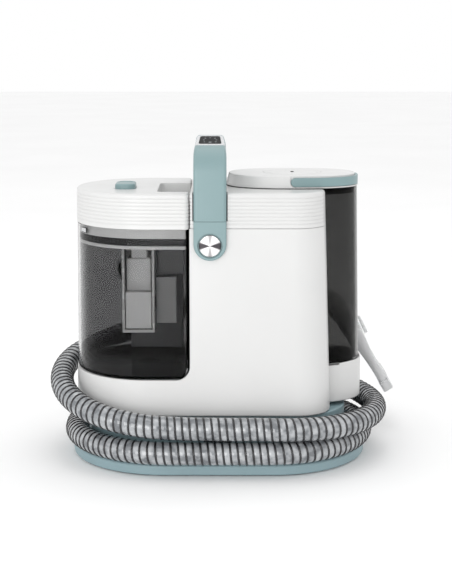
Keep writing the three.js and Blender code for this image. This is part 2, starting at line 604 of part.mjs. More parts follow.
const makeArch = () => {
  const side = new THREE.Shape();
  side.moveTo(-HANDLE.outer, HANDLE.foot);
  trace(side, ARCH_OUTSIDE);
  side.lineTo(HANDLE.outer, HANDLE.foot);
  side.lineTo(HANDLE.inner, HANDLE.foot);
  trace(side, ARCH_INSIDE);
  side.lineTo(-HANDLE.inner, HANDLE.foot);
  const r = HANDLE.crownRadius;
  const front = new THREE.Shape();
  front.moveTo(HANDLE.left, HANDLE.foot - 1);
  front.lineTo(HANDLE.right, HANDLE.foot - 1);
  front.lineTo(HANDLE.right, HANDLE.top - 2 * r);
  front.quadraticCurveTo(HANDLE.right, HANDLE.top, HANDLE.right - r, HANDLE.top);
  front.lineTo(HANDLE.left + r, HANDLE.top);
  front.quadraticCurveTo(HANDLE.left, HANDLE.top, HANDLE.left, HANDLE.top - 2 * r);
  front.closePath();
  return common(prismAlongX(side, HANDLE.left, HANDLE.right, 6), prismAlongY(front, -120, 120, 5));
};

// The grip pad fills a pocket on the underside of the arch.
const padRegion = (grow) => {
  const side = new THREE.Shape();
  side.moveTo(PAD.back + grow, PAD.bottom);
  side.lineTo(PAD.back + grow, PAD.backTop + grow);
  trace(side, PAD_CROWN.map((knot) => knot.map((value, i) => (i % 2 ? value + grow : value))));
  side.lineTo(PAD.front - grow, PAD.frontTop + grow);
  side.lineTo(PAD.front - grow, PAD.bottom);
  side.closePath();
  return prismAlongX(side, HANDLE.left + PAD.side - grow, HANDLE.right - PAD.side + grow, 6);
};

const makeHandle = (arch) => cut(arch, padRegion(GAP),
  panelPlate(PANEL.halfWidth + GAP, PANEL.halfLength + GAP, PANEL.radius, -PANEL.depth - GAP, FAR / 20));

const makeDisplayFrame = () => cut(
  panelPlate(PANEL.halfWidth, PANEL.halfLength, PANEL.radius, -PANEL.depth, PANEL.proud),
  panelPlate(GLASS.halfWidth, GLASS.halfLength, GLASS.radius, -GLASS.depth, FAR / 20));

const makeDisplayGlass = () => panelPlate(
  GLASS.halfWidth - GAP, GLASS.halfLength - GAP, GLASS.radius - GAP, -GLASS.depth + GAP, GLASS.depth);

// Foot of one leg: a plate with a round lower end, recessed for the turned steel disc.
const makeHandleFoot = (side) => {
  const { bottom, radius, recess } = HANDLE_FOOT;
  const shape = new THREE.Shape();
  shape.moveTo(HANDLE.left, HANDLE.foot - GAP);
  shape.lineTo(HANDLE.left, bottom + radius);
  shape.absarc(HANDLE_X, bottom + radius, radius, Math.PI, 2 * Math.PI, false);
  shape.lineTo(HANDLE.right, HANDLE.foot - GAP);
  shape.closePath();
  const depths = [side * (BODY.halfDepth + GAP), side * HANDLE.outer];
  const plate = prismAlongY(shape, Math.min(...depths), Math.max(...depths), ARC_STEPS);
  return cut(plate, rodAlongY(
    HANDLE_X, DISC.z, side * (HANDLE.outer - recess), side * 110, DISC.recessRadius, 28));
};

const makeDisc = () => rodAlongY(HANDLE_X, DISC.z, -HANDLE.outer - DISC.proud,
  -HANDLE.outer + HANDLE_FOOT.recess - GAP, DISC.radius, 28);

const arch = makeArch();
add('handle', makeHandle(arch), 'teal');
add('handle_pad', common(arch, padRegion(0)), 'darkGrey');
add('display_frame', makeDisplayFrame(), 'silver');
add('display_glass', makeDisplayGlass(), 'glass');
add('handle_foot_front', makeHandleFoot(-1), 'teal');
add('handle_foot_rear', makeHandleFoot(1), 'teal');
add('handle_disc', makeDisc(), 'steel');

// ---------- dirty-water tank ----------
// Everything to the left of the tank's right wall and above its floor, with a round corner.
const roundedWindow = (inset) => {
  const r = DIRTY.cornerRadius - inset;
  const right = DIRTY.right - inset;
  const bottom = DIRTY.bottom + inset;
  const shape = new THREE.Shape();
  shape.moveTo(-FAR, bottom);
  shape.lineTo(right - r, bottom);
  shape.absarc(right - r, bottom + r, r, -Math.PI / 2, 0, false);
  shape.lineTo(right, FAR);
  shape.lineTo(-FAR, FAR);
  shape.closePath();
  return prismAlongY(shape, -120, 120, 6);
};

const makeDirtyTank = () => {
  const outer = common(between(dirtyRing, DIRTY.bottom, DIRTY.top, 0), roundedWindow(0));
  const inner = common(between(dirtyRing, DIRTY.bottom, DIRTY.top + 1, TANK_WALL), roundedWindow(TANK_WALL));
  const ports = [INLET, OUTLET].map(({ y, z, radius }) => rodAlongX(
    y, z, DIRTY.right - 16, DIRTY.right + 4, radius));
  return cut(outer, inner, ...ports);
};

// Blank data plate on the front left of the tank, just under the lid.
const makeBadge = () => {
  const { halfWidth, halfHeight, thickness, z, direction, standOff } = BADGE;
  const outline = (height) => boxRing(
    -halfWidth, halfWidth, -thickness / 2, thickness / 2, 0.4, 0.4, height, 1);
  const angle = THREE.MathUtils.degToRad(direction);
  const reach = DIRTY.endRadius + standOff;
  const x = leftEdge(z) + 1 + DIRTY.endRadius + reach * Math.cos(angle);
  const y = -(DIRTY.halfDepth - DIRTY.endRadius) + reach * Math.sin(angle);
  return between(outline, -halfHeight, halfHeight, 0).rotate([0, 0, direction + 90]).translate([x, y, z]);
};

// Separator standing in the back of the tank, with the round mouth that the water enters by.
const makeSeparator = () => {
  const { left, right, front, back, bottom, top, wall } = SEPARATOR;
  return cut(
    join(block(left, right, front, back, bottom, top),
      rodAlongY(MOUTH.x, MOUTH.z, MOUTH.front, MOUTH.back, MOUTH.radius, 28)),
    block(left + wall, right - wall, front + wall, back - wall, bottom - wall, top - wall),
    rodAlongY(MOUTH.x, MOUTH.z, 0, MOUTH.back - wall, MOUTH.bore, 28));
};

add('dirty_tank', makeDirtyTank(), 'smoked');
add('data_plate', makeBadge(), 'silver');
add('separator', makeSeparator(), 'darkGrey');

// ---------- dirty-tank lid ----------
const buttonOutline = (grow) => (z) => boxRing(
  BUTTON.x - BUTTON.halfWidth - grow, BUTTON.x + BUTTON.halfWidth + grow,
  BUTTON.y - BUTTON.halfDepth - grow, BUTTON.y + BUTTON.halfDepth + grow,
  BUTTON.radius + grow, BUTTON.radius + grow, z, 4);

const makeLid = () => {
  const outer = stack([
    dirtyRing(LID.bottom, -LID.overhang), dirtyRing(LID.top - LID.edgeRadius, -LID.overhang),
    dirtyRing(LID.top - 0.7, 0.1), dirtyRing(LID.top, LID.edgeRadius - LID.overhang)]);
  const inner = between(dirtyRing, LID.bottom - 1, LID.top - WALL, WALL - LID.overhang);
  const tub = common(
    block(RECESS.left - WALL, -20, RECESS.front - WALL, RECESS.back + WALL, RECESS.floor - WALL, LID.top - 1),
    between(dirtyRing, LID.bottom, LID.top - 1, 0));
  const recess = block(RECESS.left, 0, RECESS.front, RECESS.back, RECESS.floor, FAR);
  const hole = between(buttonOutline(GAP), LID.top - 10, LID.top + 5, 0);
  return cut(join(cut(outer, inner), tub), recess, hole);
};

// Floor of the lid with the post under the button, open for the float's stem and for the air.
const makeLidFloor = () => {
  const plate = between(dirtyRing, LID_FLOOR.bottom, LID_FLOOR.top, SKIRT.inset);
  const stand = post(BUTTON.x, BUTTON.y, LID_FLOOR.top - 1, BUTTON.postTop, BUTTON.postRadius);
  const stemHole = block(STEM_TIP.left - 1, STEM_TIP.right + 1, STEM_TIP.front - 1, STEM_TIP.back + 1,
    LID_FLOOR.bottom - 1, LID_FLOOR.top + 1);
  const airHole = block(INTAKE.left + 6, INTAKE.right - 2, INTAKE.front + 4, INTAKE.back - 10,
    LID_FLOOR.bottom - 1, LID_FLOOR.top + 1);
  return cut(join(plate, stand), stemHole, airHole);
};

const makeButton = () => join(
  stack([
    buttonOutline(0)(BUTTON.flangeTop - 1), buttonOutline(0)(BUTTON.top - 2),
    buttonOutline(-1.8)(BUTTON.top)]),
  between(buttonOutline(BUTTON.flange), BUTTON.flangeTop - BUTTON.flange, BUTTON.flangeTop, 0));

const makeButtonSpring = () => sleeve(BUTTON.x, BUTTON.y, BUTTON.postTop + GAP,
  BUTTON.flangeTop - BUTTON.flange - GAP, BUTTON.springRadius, BUTTON.springBore, 16);

// Cage hanging from the lid's floor: two rails, a back and a floor round the float.
const makeCage = () => {
  const { left, right, front, back, bottom, floor, top, rail } = CAGE;
  return join(
    block(left, left + rail, front, back, floor, top),
    block(right - rail, right, front, back, floor, top),
    block(left, right, back - 2, back, floor, top),
    block(left, right, front, back, bottom, floor + GAP));
};

const makeFloat = () => join(
  block(FLOAT.left, FLOAT.right, FLOAT.front, FLOAT.back, FLOAT.bottom, FLOAT.top),
  block(FLOAT.left + STEM.inset, FLOAT.right - STEM.inset, STEM.front, STEM.back, FLOAT.top - 1, STEM.top),
  block(STEM_TIP.left, STEM_TIP.right, STEM_TIP.front, STEM_TIP.back, STEM.top - 1, STEM_TIP.top));

const makeIntakeBox = () => {
  const { left, right, front, back, bottom, top, wall } = INTAKE;
  return cut(block(left, right, front, back, bottom, top),
    block(left + wall, right - wall, front + wall, back - wall, bottom - wall, top - wall - GAP));
};

// Deflector that turns the water down: a channel that is open below and behind.
const makeDeflector = () => {
  const { left, right, front, back, bottom, top, wall } = DEFLECTOR;
  return cut(block(left, right, front, back, bottom, top),
    block(left + wall, right - wall, front + wall, FAR, 0, top - wall));
};

add('lid_cover', makeLid(), 'white');
add('lid_skirt', hollow(dirtyRing, SKIRT.bottom, RECESS.floor - WALL - GAP, SKIRT.inset, WALL), 'lightGrey');
add('lid_gasket', hollow(
  dirtyRing, LID_GASKET.bottom, LID_GASKET.top, TANK_WALL + GAP, LID_GASKET.width), 'rubber');
add('lid_floor', makeLidFloor(), 'lightGrey');
add('lid_button', makeButton(), 'teal');
add('button_spring', makeButtonSpring(), 'steel');
add('float_cage', makeCage(), 'clear');
add('float', makeFloat(), 'lightGrey');
add('intake_box', makeIntakeBox(), 'darkGrey');
add('deflector', makeDeflector(), 'lightGrey');

// ---------- clean-water tank ----------
const onOval = (z0, z1, radius, sides) => post(OVAL.x, OVAL.y, z0, z1, radius, sides);

const makeCleanTank = () => cut(
  oval(CLEAN.bottom, CLEAN.top, 0),
  oval(CLEAN.bottom + WALL, CLEAN.top + 1, -TANK_WALL),
  onOval(100, 120, CLEAN.drain, 12));

const bailBand = (inner, outer) => cut(oval(300, 360, outer, lidReach), oval(299, 361, inner, lidReach));

// Everything to the right of the bail's pivot, with a round end about the pivot.
const bailSide = (grow) => join(
  block(BAIL.x, FAR, -FAR, FAR, BAIL.z - BAIL.halfHeight - grow, BAIL.z + BAIL.halfHeight + grow),
  rodAlongY(BAIL.x, BAIL.z, -100, 100, BAIL.halfHeight + grow, 24));

const bailPins = (radius, reach) => [-1, 1].map((side) => rodAlongY(
  BAIL.x, BAIL.z, OVAL.y + side * (OVAL.halfDepth - BAIL.pinDepth - reach),
  OVAL.y + side * (OVAL.halfDepth - 1), radius, 12));

// Lid with a recess for the fill cap, a vent, and a channel that the bail lies in and swings up from.
const makeCleanLid = () => {
  const { bottom, top, overhang, rim, roof, capRadius, capDepth, vent } = CLEAN_LID;
  const outer = stack([
    ovalRing(bottom, overhang, lidReach), ovalRing(top - 3, overhang - 1, lidReach),
    ovalRing(top, overhang - 3.6, lidReach)]);
  const room = oval(bottom - 1, top - roof, -rim, lidReach);
  const swing = block(BAIL.x - BAIL.halfHeight - 0.5, FAR, -FAR, FAR, BAIL.z, FAR);
  const channel = common(bailBand(overhang - BAIL.depth - 0.4, overhang + 5), join(bailSide(0.5), swing));
  return cut(outer, room, channel, onOval(top - capDepth, FAR, capRadius + GAP, 36),
    onOval(300, FAR, vent, 8), ...bailPins(BAIL.pinRadius + GAP, 0.5));
};

const makeCleanGasket = () => {
  const { bottom, inset, width } = CLEAN_GASKET;
  return cut(oval(bottom, CLEAN.top + 0.1, -inset, lidReach),
    oval(bottom - 1, CLEAN.top + 2, -inset - width, lidReach));
};

const makeFillCap = () => cut(
  onOval(CLEAN_LID.top - CLEAN_LID.capDepth + GAP, CLEAN_LID.top + 0.2, CLEAN_LID.capRadius, 36),
  onOval(300, FAR, CLEAN_LID.vent, 8));

const makeBail = () => join(
  common(bailBand(CLEAN_LID.overhang - BAIL.depth, CLEAN_LID.overhang), bailSide(0)),
  ...bailPins(BAIL.pinRadius, 0));

// Spring valve in the floor of the tank: a cap over the spring, slotted at the sides for the water.
const makeValveBody = () => cut(
  onOval(VALVE.bottom, VALVE.top, VALVE.radius, 20),
  onOval(VALVE.bottom - 6, VALVE.springTop, VALVE.bore, 20),
  block(OVAL.x - VALVE.radius, OVAL.x + VALVE.radius, OVAL.y - VALVE.halfSlot, OVAL.y + VALVE.halfSlot,
    VALVE.slotBottom, VALVE.slotTop));

const makePoppet = () => join(
  onOval(POPPET.bottom, POPPET.top, POPPET.radius, 16),
  onOval(POPPET.stemBottom, POPPET.bottom + 0.6, POPPET.stemRadius, 12));

const makeValveSpring = () => sleeve(OVAL.x, OVAL.y, POPPET.top + GAP, VALVE.springTop - GAP,
  VALVE_SPRING.radius, VALVE_SPRING.bore, 14);

add('clean_tank', makeCleanTank(), 'smokedDark');
add('clean_lid', makeCleanLid(), 'white');
add('clean_gasket', makeCleanGasket(), 'rubber');
add('fill_cap', makeFillCap(), 'white');
add('bail', makeBail(), 'teal');
add('valve_body', makeValveBody(), 'lightGrey');
add('valve_poppet', makePoppet(), 'darkGrey');
add('valve_spring', makeValveSpring(), 'steel');

// ---------- hose ----------
// A point on a loop round the base, straight in front and behind and round at both ends. The
// fraction of the way round starts at the middle of the back and goes to the right.
const loopPoint = (fraction, halfLength, radius, z) => {
  const straight = halfLength - radius;
  const halfTurn = Math.PI * radius;
  const way = (fraction % 1) * (4 * straight + 2 * halfTurn);
  if (way < straight) {
    return point([way, radius, z]);
  }
  if (way < straight + halfTurn) {
    const angle = (way - straight) / radius;
    return point([straight + radius * Math.sin(angle), radius * Math.cos(angle), z]);
  }
  if (way < 3 * straight + halfTurn) {
    return point([2 * straight + halfTurn - way, -radius, z]);
  }
  if (way < 3 * straight + 2 * halfTurn) {
    const angle = (way - 3 * straight - halfTurn) / radius;
    return point([-straight - radius * Math.sin(angle), -radius * Math.cos(angle), z]);
  }
  return point([way - 4 * straight - 2 * halfTurn, radius, z]);
};

const smooth = THREE.MathUtils.smootherstep;

// Two turns: the lower one lies on the base plate, the upper one lies on it and climbs at the left.
const hoseTurns = () => {
  const points = [];
  for (let step = HOSE.firstStep; step <= HOSE.lastStep; step += 1) {
    const turn = step / HOSE.stepsPerTurn;
    const wide = smooth(turn, ...HOSE_WIDENS);
    const halfLength = HOSE.lowHalfLength + (HOSE.highHalfLength - HOSE.lowHalfLength) * wide;
    const radius = HOSE.lowRadius + (HOSE.highRadius - HOSE.lowRadius) * wide;
    const rise = HOSE_RISES.reduce((sum, [height, from, to]) => sum + height * smooth(turn, from, to), 0);
    points.push(loopPoint(turn, halfLength, radius, HOSE.lowZ + rise));
  }
  return points;
};

const makeHose = () => tubeAlong(
  [point(HOSE_START), ...hoseTurns(), ...HOSE_TAIL.map(point)], HOSE.radius, HOSE.steps, HOSE.sides);

// Bend from the port in the waist to the start of the hose, with a ring that holds the hose.
const makeElbow = () => join(
  tubeAlong(ELBOW.path.map(point), ELBOW.radius, 10, 12),
  rod(ELBOW_RING.from, ELBOW_RING.to, ELBOW.ringRadius, 16));

add('hose_elbow', makeElbow(), 'darkGrey');
add('hose', makeHose(), 'hose');

// ---------- hand tool ----------
// Grip with a bend, and the hook that hangs on the dock.
const makeGrip = () => {
  const bend = GRIP_BEND.map((angle) => point([
    TOOL.bendX + TOOL.bendRadius * Math.sin(angle), TOOL.y,
    TOOL.bendZ - TOOL.bendRadius + TOOL.bendRadius * Math.cos(angle)]));
  const body = tubeAlong([...GRIP_START.map(point), ...bend], TOOL.gripRadius, 14, 12);
  const left = DOCK.x - HOOK.halfWidth;
  const right = DOCK.x + HOOK.halfWidth;
  const arm = block(left, right, HOOK.front, HOOK.back, HOOK.step, HOOK.top);
  const tongue = block(left, right, HOOK.front, HOOK.tongueBack, HOOK.bottom, HOOK.step + 1);
  const slot = block(TRIGGER.left - 2, TRIGGER.right + 2, TOOL.y - TRIGGER.halfDepth - 1,
    TOOL.y + TRIGGER.halfDepth + 1, 130, TRIGGER.top + 5);
  return cut(join(body, arm, tongue), slot);
};

const makeTrigger = () => block(TRIGGER.left, TRIGGER.right, TOOL.y - TRIGGER.halfDepth,
  TOOL.y + TRIGGER.halfDepth, TRIGGER.bottom, TRIGGER.top);

// A solid drawn along the nozzle's own axis, with its neck at the origin, set on the end of the grip.
const onNozzle = (solid) => solid.rotate([0, -90 + THREE.MathUtils.radToDeg(TOOL.lean), 0])
  .translate([NECK.x, TOOL.y, NECK.z]);

const nozzleRing = (along, halfThickness, halfWidth, grow) => boxRing(
  -halfThickness - grow, halfThickness + grow, -halfWidth - grow, halfWidth + grow,
  halfThickness + grow - 0.2, halfThickness + grow - 0.2, -along, 4);

const nozzleBody = (grow, extra) => stack([
  nozzleRing(NOZZLE.length + extra, NOZZLE.halfThickness, NOZZLE.halfWidth, grow),
  nozzleRing(NOZZLE_THROAT.along, NOZZLE_THROAT.halfThickness, NOZZLE_THROAT.halfWidth, grow),
  nozzleRing(NOZZLE.neckStart - extra, NOZZLE.neck, NOZZLE.neck, grow)]);

const makeNozzle = () => onNozzle(cut(nozzleBody(0, 0), nozzleBody(-NOZZLE.wall, 1)));

const makeNozzleLip = () => {
  const halfWidth = NOZZLE.halfWidth + LIP.overhang;
  return onNozzle(cut(
    block(-LIP.halfThickness, LIP.halfThickness, -halfWidth, halfWidth, -NOZZLE.length - LIP.depth,
      -NOZZLE.length - GAP),
    block(-LIP.slit, LIP.slit, -halfWidth + WALL, halfWidth - WALL, -FAR, 0)));
};

add('tool_cuff', rod(CUFF.from, CUFF.to, CUFF.radius, 16), 'rubber');
add('tool_grip', makeGrip(), 'white');
add('tool_trigger', makeTrigger(), 'teal');
add('nozzle', makeNozzle(), 'clear');
add('nozzle_lip', makeNozzleLip(), 'clear');
add('spray_tip', onNozzle(rod(SPRAY.from, SPRAY.to, SPRAY.radius, 10)), 'clear');

export default group;
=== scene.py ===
import math

import bmesh
import bpy
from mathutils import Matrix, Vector


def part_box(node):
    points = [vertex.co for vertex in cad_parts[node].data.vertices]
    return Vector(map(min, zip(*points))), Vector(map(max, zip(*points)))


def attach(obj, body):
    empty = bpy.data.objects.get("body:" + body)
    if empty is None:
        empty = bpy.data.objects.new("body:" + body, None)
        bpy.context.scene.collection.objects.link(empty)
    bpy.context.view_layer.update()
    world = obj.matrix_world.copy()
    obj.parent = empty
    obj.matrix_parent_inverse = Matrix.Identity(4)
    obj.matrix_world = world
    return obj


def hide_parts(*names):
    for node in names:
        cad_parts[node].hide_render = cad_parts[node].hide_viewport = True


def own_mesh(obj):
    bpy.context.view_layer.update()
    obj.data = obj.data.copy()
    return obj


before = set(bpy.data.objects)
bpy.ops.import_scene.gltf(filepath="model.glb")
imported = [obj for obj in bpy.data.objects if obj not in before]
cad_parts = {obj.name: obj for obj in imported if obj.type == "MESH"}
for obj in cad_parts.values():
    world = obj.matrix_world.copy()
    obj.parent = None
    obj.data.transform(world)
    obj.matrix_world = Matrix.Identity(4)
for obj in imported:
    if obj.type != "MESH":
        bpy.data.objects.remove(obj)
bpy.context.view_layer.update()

MM = 0.001
SCENE = bpy.context.scene

MACHINE = "machine"
DIRTY_TANK = "dirty_tank_set"
DIRTY_LID = "dirty_lid"
CLEAN_TANK = "clean_tank_set"
CLEAN_LID = "clean_lid"

# Camera
CAMERA_PLACE = (0, -1.5206, 0.482)      # metres
CAMERA_DIP = 10.808     # degrees below the horizon
CAMERA_LENS = 80.05
CAMERA_SENSOR = 36
CAMERA_SHIFT = 0.0125

# Walls and outlines
WALL = 3.0              # moulded walls
TANK_WALL = 2.5
GAP = 0.3               # between pieces that touch
SEAM = 0.1              # half the gap between the front and the rear shell
FAR = 500               # past every piece, for the tools that cut
CORNER_STEPS = 20       # segments in a quarter turn of a large outline
LEFT_LEAN = 0.0125      # how much the two ends lean in, per millimetre of height
RIGHT_LEAN = 0.0375
END_RADIUS = 88         # the half-round left end of the body
CORNER_RADIUS = 38      # the right corners of the tower
WINDOW_RADIUS = 16      # the lower right corner of the dirty tank
TANK_END_RADIUS = 87
TANK_SETBACK = 1        # the tank's left end lies inside the body's line
OVAL_POWER = 2.4        # the clean tank is a soft oval
OVAL_REACH = 84.5       # from the tank's middle to its right end, at the floor
OVAL_LEAN = 0.027
RIB_PITCH = 4.1         # grooves in the lid and the top band
RIB_DEPTH = 0.6
RIB_HALF = 0.75         # half a groove's width at the surface
RIB_HALF_FLOOR = 0.25   # and at its bottom

# Base
WAIST_LEFT = -153       # the drum under the body that the hose is wound on
WAIST_RIGHT = 150
WAIST_HALF_DEPTH = 84
WAIST_RADII = (78, 66)
WAIST_FOOT = 13
WAIST_TOP = 63.6
PLATE_TOP = 14
PLATE_FLOOR = 8
SHELF_LEFT = 119        # the waist's top shows from here to the right

# Tower
POCKET_GAP = 1.5        # round the clean tank
POCKET_REACH = 110
ARCH_CLEAR = 330        # a height between the top covers and the handle's arch
GLAND_RADIUS = 7
SPINE_FOOT = 98
HANDLE_SLOT = 74        # the handle's legs pass through the top cover outside this

# Handle and display
ARCH_NARROWS = 0.17     # share of its width that it loses between these heights
ARCH_NARROWS_BETWEEN = (358, 386)
ARCH_RIM = 3.6          # radius of its rounded edges
GROOVES = 22            # in the grip pad
GROOVE_FIRST = -58
GROOVE_PITCH = 5.2
GROOVE_WIDTH = 1.4
GROOVE_DEPTH = 0.9
PANEL_Y = -48.5         # the middle of the display, on the slope at the front of the arch
PANEL_Z = 375.25
PANEL_TILT = math.atan2(7.9, 45)        # the slope rises 7.9 over 45
# Marks on the display: across, up, radius and corners.
DISPLAY_MARKS = (
    (-6.5, -9, 1.5, 3), (0, -10, 1.9, 24), (6.5, -9, 1.5, 4), (-7, 0, 1.1, 24),
    (7, 0, 1.1, 24), (-5.5, 8, 1.3, 6), (0, 10, 1.0, 24), (5.5, 8, 1.3, 6))
DISC_RECESS = 13.8      # radius of the hollow in a handle foot
REAR_BOSS = 12.4        # the boss that fills it at the back
DISC_RINGS = 22

# Dirty tank and its lid
LID_OVERHANG = 0.6      # past the tank's side
LID_CEILING = 301       # the underside of the lid's top
FINGER_RECESS = (-69, -66, 27)          # left, front and back
RECESS_FLOOR = 306
BUTTON_FLANGE = 3
BUTTON_CORNER = 9
BADGE_DIRECTION = -149  # degrees, seen from above
BADGE_HALF_WIDTH = 6.5
BADGE_HALF_HEIGHT = 3

# Clean tank's lid
CAP_RADIUS = 34
VENT_RADIUS = 1.5

# Hose
HOSE_PITCH = 8.3
HOSE_BAND = 12.3        # radius of the clear wall at a rib
HOSE_BULGE = 0.9
RIB_WIRE = 1.4
RIB_WIRE_OUT = 0.25     # how far the wire's middle stands outside the wall
HOSE_START = (48.3, 117.5, 30.6)
HOSE_TAIL = ((-125, 104.5, 117.5), (-86, 117.5, 129), (-46, 121.5, 147), (-16, 122, 159.5), (8, 122, 165.5))
HOSE_STEPS = 24         # knots in a turn
HOSE_KNOTS = range(2, 45)
HOSE_LOW = 28.6         # height of the first turn
# Each rise of the hose: its height, and the turns at which it starts and ends.
HOSE_RISES = ((36, 0.72, 1.0), (-10.5, 1.05, 1.25), (3.5, 1.28, 1.5), (60, 1.48, 1.98))
HOSE_HALF_LENGTH = 171
HOSE_TURN_RADIUS = 117.5
HOSE_WIDENS = (0.9, 1.2)                # the turns between which the loop gets this much larger
HOSE_LONGER = 17
HOSE_ROUNDER = 2

# Hand tool
TOOL_Y = 122
GRIP_RADIUS = 14.9
GRIP_WAIST = 1.3        # how much thinner its middle is
GRIP_KNOTS = ((28.4, TOOL_Y, 167), (45, TOOL_Y, 166.7), (60, TOOL_Y, 166))
GRIP_BEND_X = 118
GRIP_BEND_Z = 113
GRIP_BEND_RADIUS = 50
NECK_LEAN = 1.01        # radians that the grip bends down through
GRIP_ANGLES = (0.1, 0.35, 0.6, 0.8, NECK_LEAN)
ELBOW_RADIUS = 14.6
COLLAR_RADIUS = 15.9
ELBOW_KNOTS = ((0, 80, 36), (0, 96, 35.4), (9, 112.5, 33.4), (28, 117.4, 31.8), (45.5, 117.5, 30.7))
NOZZLE_LENGTH = 92
NOZZLE_NECK = 13
NOZZLE_THICKNESS = 5.5  # half of each, at the mouth
NOZZLE_WIDTH = 42
LIP_DEPTH = 14
LIP_WIDTH = 44
LIP_THICKNESS = 6.5
HOOK_HALF = 8
HOOK_FRONT = 97
HOOK_BACK = 110
HOOK_STEP = 171
HOOK_TOP = 177
TONGUE_BACK = 100.4
TONGUE_BOTTOM = 157
CUFF_BORE = 12.6

# Where each lamp stands and how wide it is, in metres, and its power in watts.
LAMPS = (("front", (-0.45, -1.25, 0.2), 0.9, 7.5), ("top", (0.2, 0.4, 2.6), 2.2, 11))


class Box:
    """A CAD node's box, in millimetres."""

    def __init__(self, node):
        low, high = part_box(node)
        self.x0, self.y0, self.z0 = (value / MM for value in low)
        self.x1, self.y1, self.z1 = (value / MM for value in high)
        self.x = (self.x0 + self.x1) / 2
        self.y = (self.y0 + self.y1) / 2
        self.z = (self.z0 + self.z1) / 2


SHELL = Box("front_shell")
COVER = Box("top_cover")
TANK = Box("dirty_tank")
LID = Box("lid_cover")
BUTTON = Box("lid_button")
OVAL = Box("clean_tank")
OVAL_LID = Box("clean_lid")
FILL_CAP = Box("fill_cap")
BAIL = Box("bail")
ARCH = Box("handle")
BASE = Box("base_plate")
CRADLE = Box("tank_cradle")
DISC = Box("handle_disc")
ELBOW = Box("hose_elbow")


# ---------- camera ----------
def make_camera():
    data = bpy.data.cameras.new("camera")
    data.sensor_width = CAMERA_SENSOR
    data.lens = CAMERA_LENS
    data.shift_x = CAMERA_SHIFT
    data.clip_end = 60
    camera = bpy.data.objects.new("camera", data)
    camera.location = CAMERA_PLACE
    camera.rotation_euler = (math.radians(90 - CAMERA_DIP), 0, 0)
    SCENE.collection.objects.link(camera)
    SCENE.camera = camera


# ---------- meshes ----------
def mesh_piece(name, points, faces):
    """An object of its own from points in millimetres, with its faces turned outwards."""
    mesh = bpy.data.meshes.new(name)
    mesh.from_pydata([(x * MM, y * MM, z * MM) for x, y, z in points], [], faces)
    outward = bmesh.new()
    outward.from_mesh(mesh)
    bmesh.ops.recalc_face_normals(outward, faces=outward.faces)
    outward.to_mesh(mesh)
    outward.free()
    piece = bpy.data.objects.new(name, mesh)
    SCENE.collection.objects.link(piece)
    return piece


def loft(name, rings, closed=False):
    """A skin over rings of equally many points: a closed loop of rings, or capped at both ends."""
    count = len(rings[0])
    points = [point for ring in rings for point in ring]
    faces = []
    spans = len(rings) if closed else len(rings) - 1
    for level in range(spans):
        low = level * count
        high = ((level + 1) % len(rings)) * count
        for i in range(count):
            j = (i + 1) % count
            faces.append((low + i, low + j, high + j, high + i))
    if not closed:
        faces.append(tuple(range(count)))
        faces.append(tuple(range((len(rings) - 1) * count, len(rings) * count)))
    return mesh_piece(name, points, faces)


def block(name, x0, x1, y0, y1, z0, z1):
    ring = [(x0, y0), (x1, y0), (x1, y1), (x0, y1)]
    return loft(name, [[(x, y, z) for x, y in ring] for z in (z0, z1)])


def bake(piece):
    """The piece's modifiers become its mesh."""
    bpy.context.view_layer.update()
    graph = bpy.context.evaluated_depsgraph_get()
    mesh = bpy.data.meshes.new_from_object(piece.evaluated_get(graph))
    piece.modifiers.clear()
    piece.data = mesh


def combine(piece, tool, how):
    change = piece.modifiers.new("combine", "BOOLEAN")
    change.operation = how
    change.solver = "EXACT"
    change.object = tool
    bake(piece)
    bpy.data.objects.remove(tool)
    return piece


def cut(piece, *tools):
    for tool in tools:
        combine(piece, tool, "DIFFERENCE")
    return piece


def common(piece, tool):
    return combine(piece, tool, "INTERSECT")


def join(piece, *others):
    for other in others:
        combine(piece, other, "UNION")
    return piece


def soften(piece, bevel, sharp=35):
    """Smooth shading with rounded edges where two faces meet at more than the sharp angle."""
    mesh = piece.data
    mesh.polygons.foreach_set("use_smooth", [True] * len(mesh.polygons))
    if bevel:
        weld = piece.modifiers.new("weld", "WELD")
        weld.merge_threshold = 0.00002
        rounding = piece.modifiers.new("rounding", "BEVEL")
        rounding.width = bevel * MM
        rounding.segments = 2
        rounding.limit_method = "ANGLE"
        rounding.angle_limit = math.radians(sharp)
    else:
        mesh.set_sharp_from_angle(angle=math.radians(sharp))
    even = piece.modifiers.new("even", "WEIGHTED_NORMAL")
    even.keep_sharp = True


def dress(piece, body, material, slot, stands_for=(), bevel=0.0, sharp=35):
    """Gives a finished piece its material and its rounding, puts it in its body and hides the CAD nodes that
    it stands for.
    """
    piece.data.materials.clear()
    piece.data.materials.append(material)
    soften(piece, bevel, sharp)
    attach(piece, body)
    if stands_for:
        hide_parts(*stands_for)
    return piece


# ---------- outlines ----------
def arc(x, y, radius, start, steps, turn=90):
    """Points of an arc about (x, y), from the start angle; angles in degrees."""
    points = []
    for i in range(steps + 1):
        angle = math.radians(start + turn * i / steps)
        points.append((x + radius * math.cos(angle), y + radius * math.sin(angle)))
    return points


def box_outline(x0, x1, y0, y1, left, right, steps=CORNER_STEPS):
    """A box seen from above, whose left and right corners have their own radius."""
    corners = [
        (x0 + left, y0 + left, left, 180),
        (x1 - right, y0 + right, right, 270),
        (x1 - right, y1 - right, right, 0),
        (x0 + left, y1 - left, left, 90),
    ]
    return [point for x, y, radius, start in corners for point in arc(x, y, radius, start, steps)]


def level(outline, z):
    return [(x, y, z) for x, y in outline]


def left_edge(z):
    return SHELL.x0 + (z - SHELL.z0) * LEFT_LEAN


def right_edge(z):
    return SHELL.x1 - (z - SHELL.z0) * RIGHT_LEAN


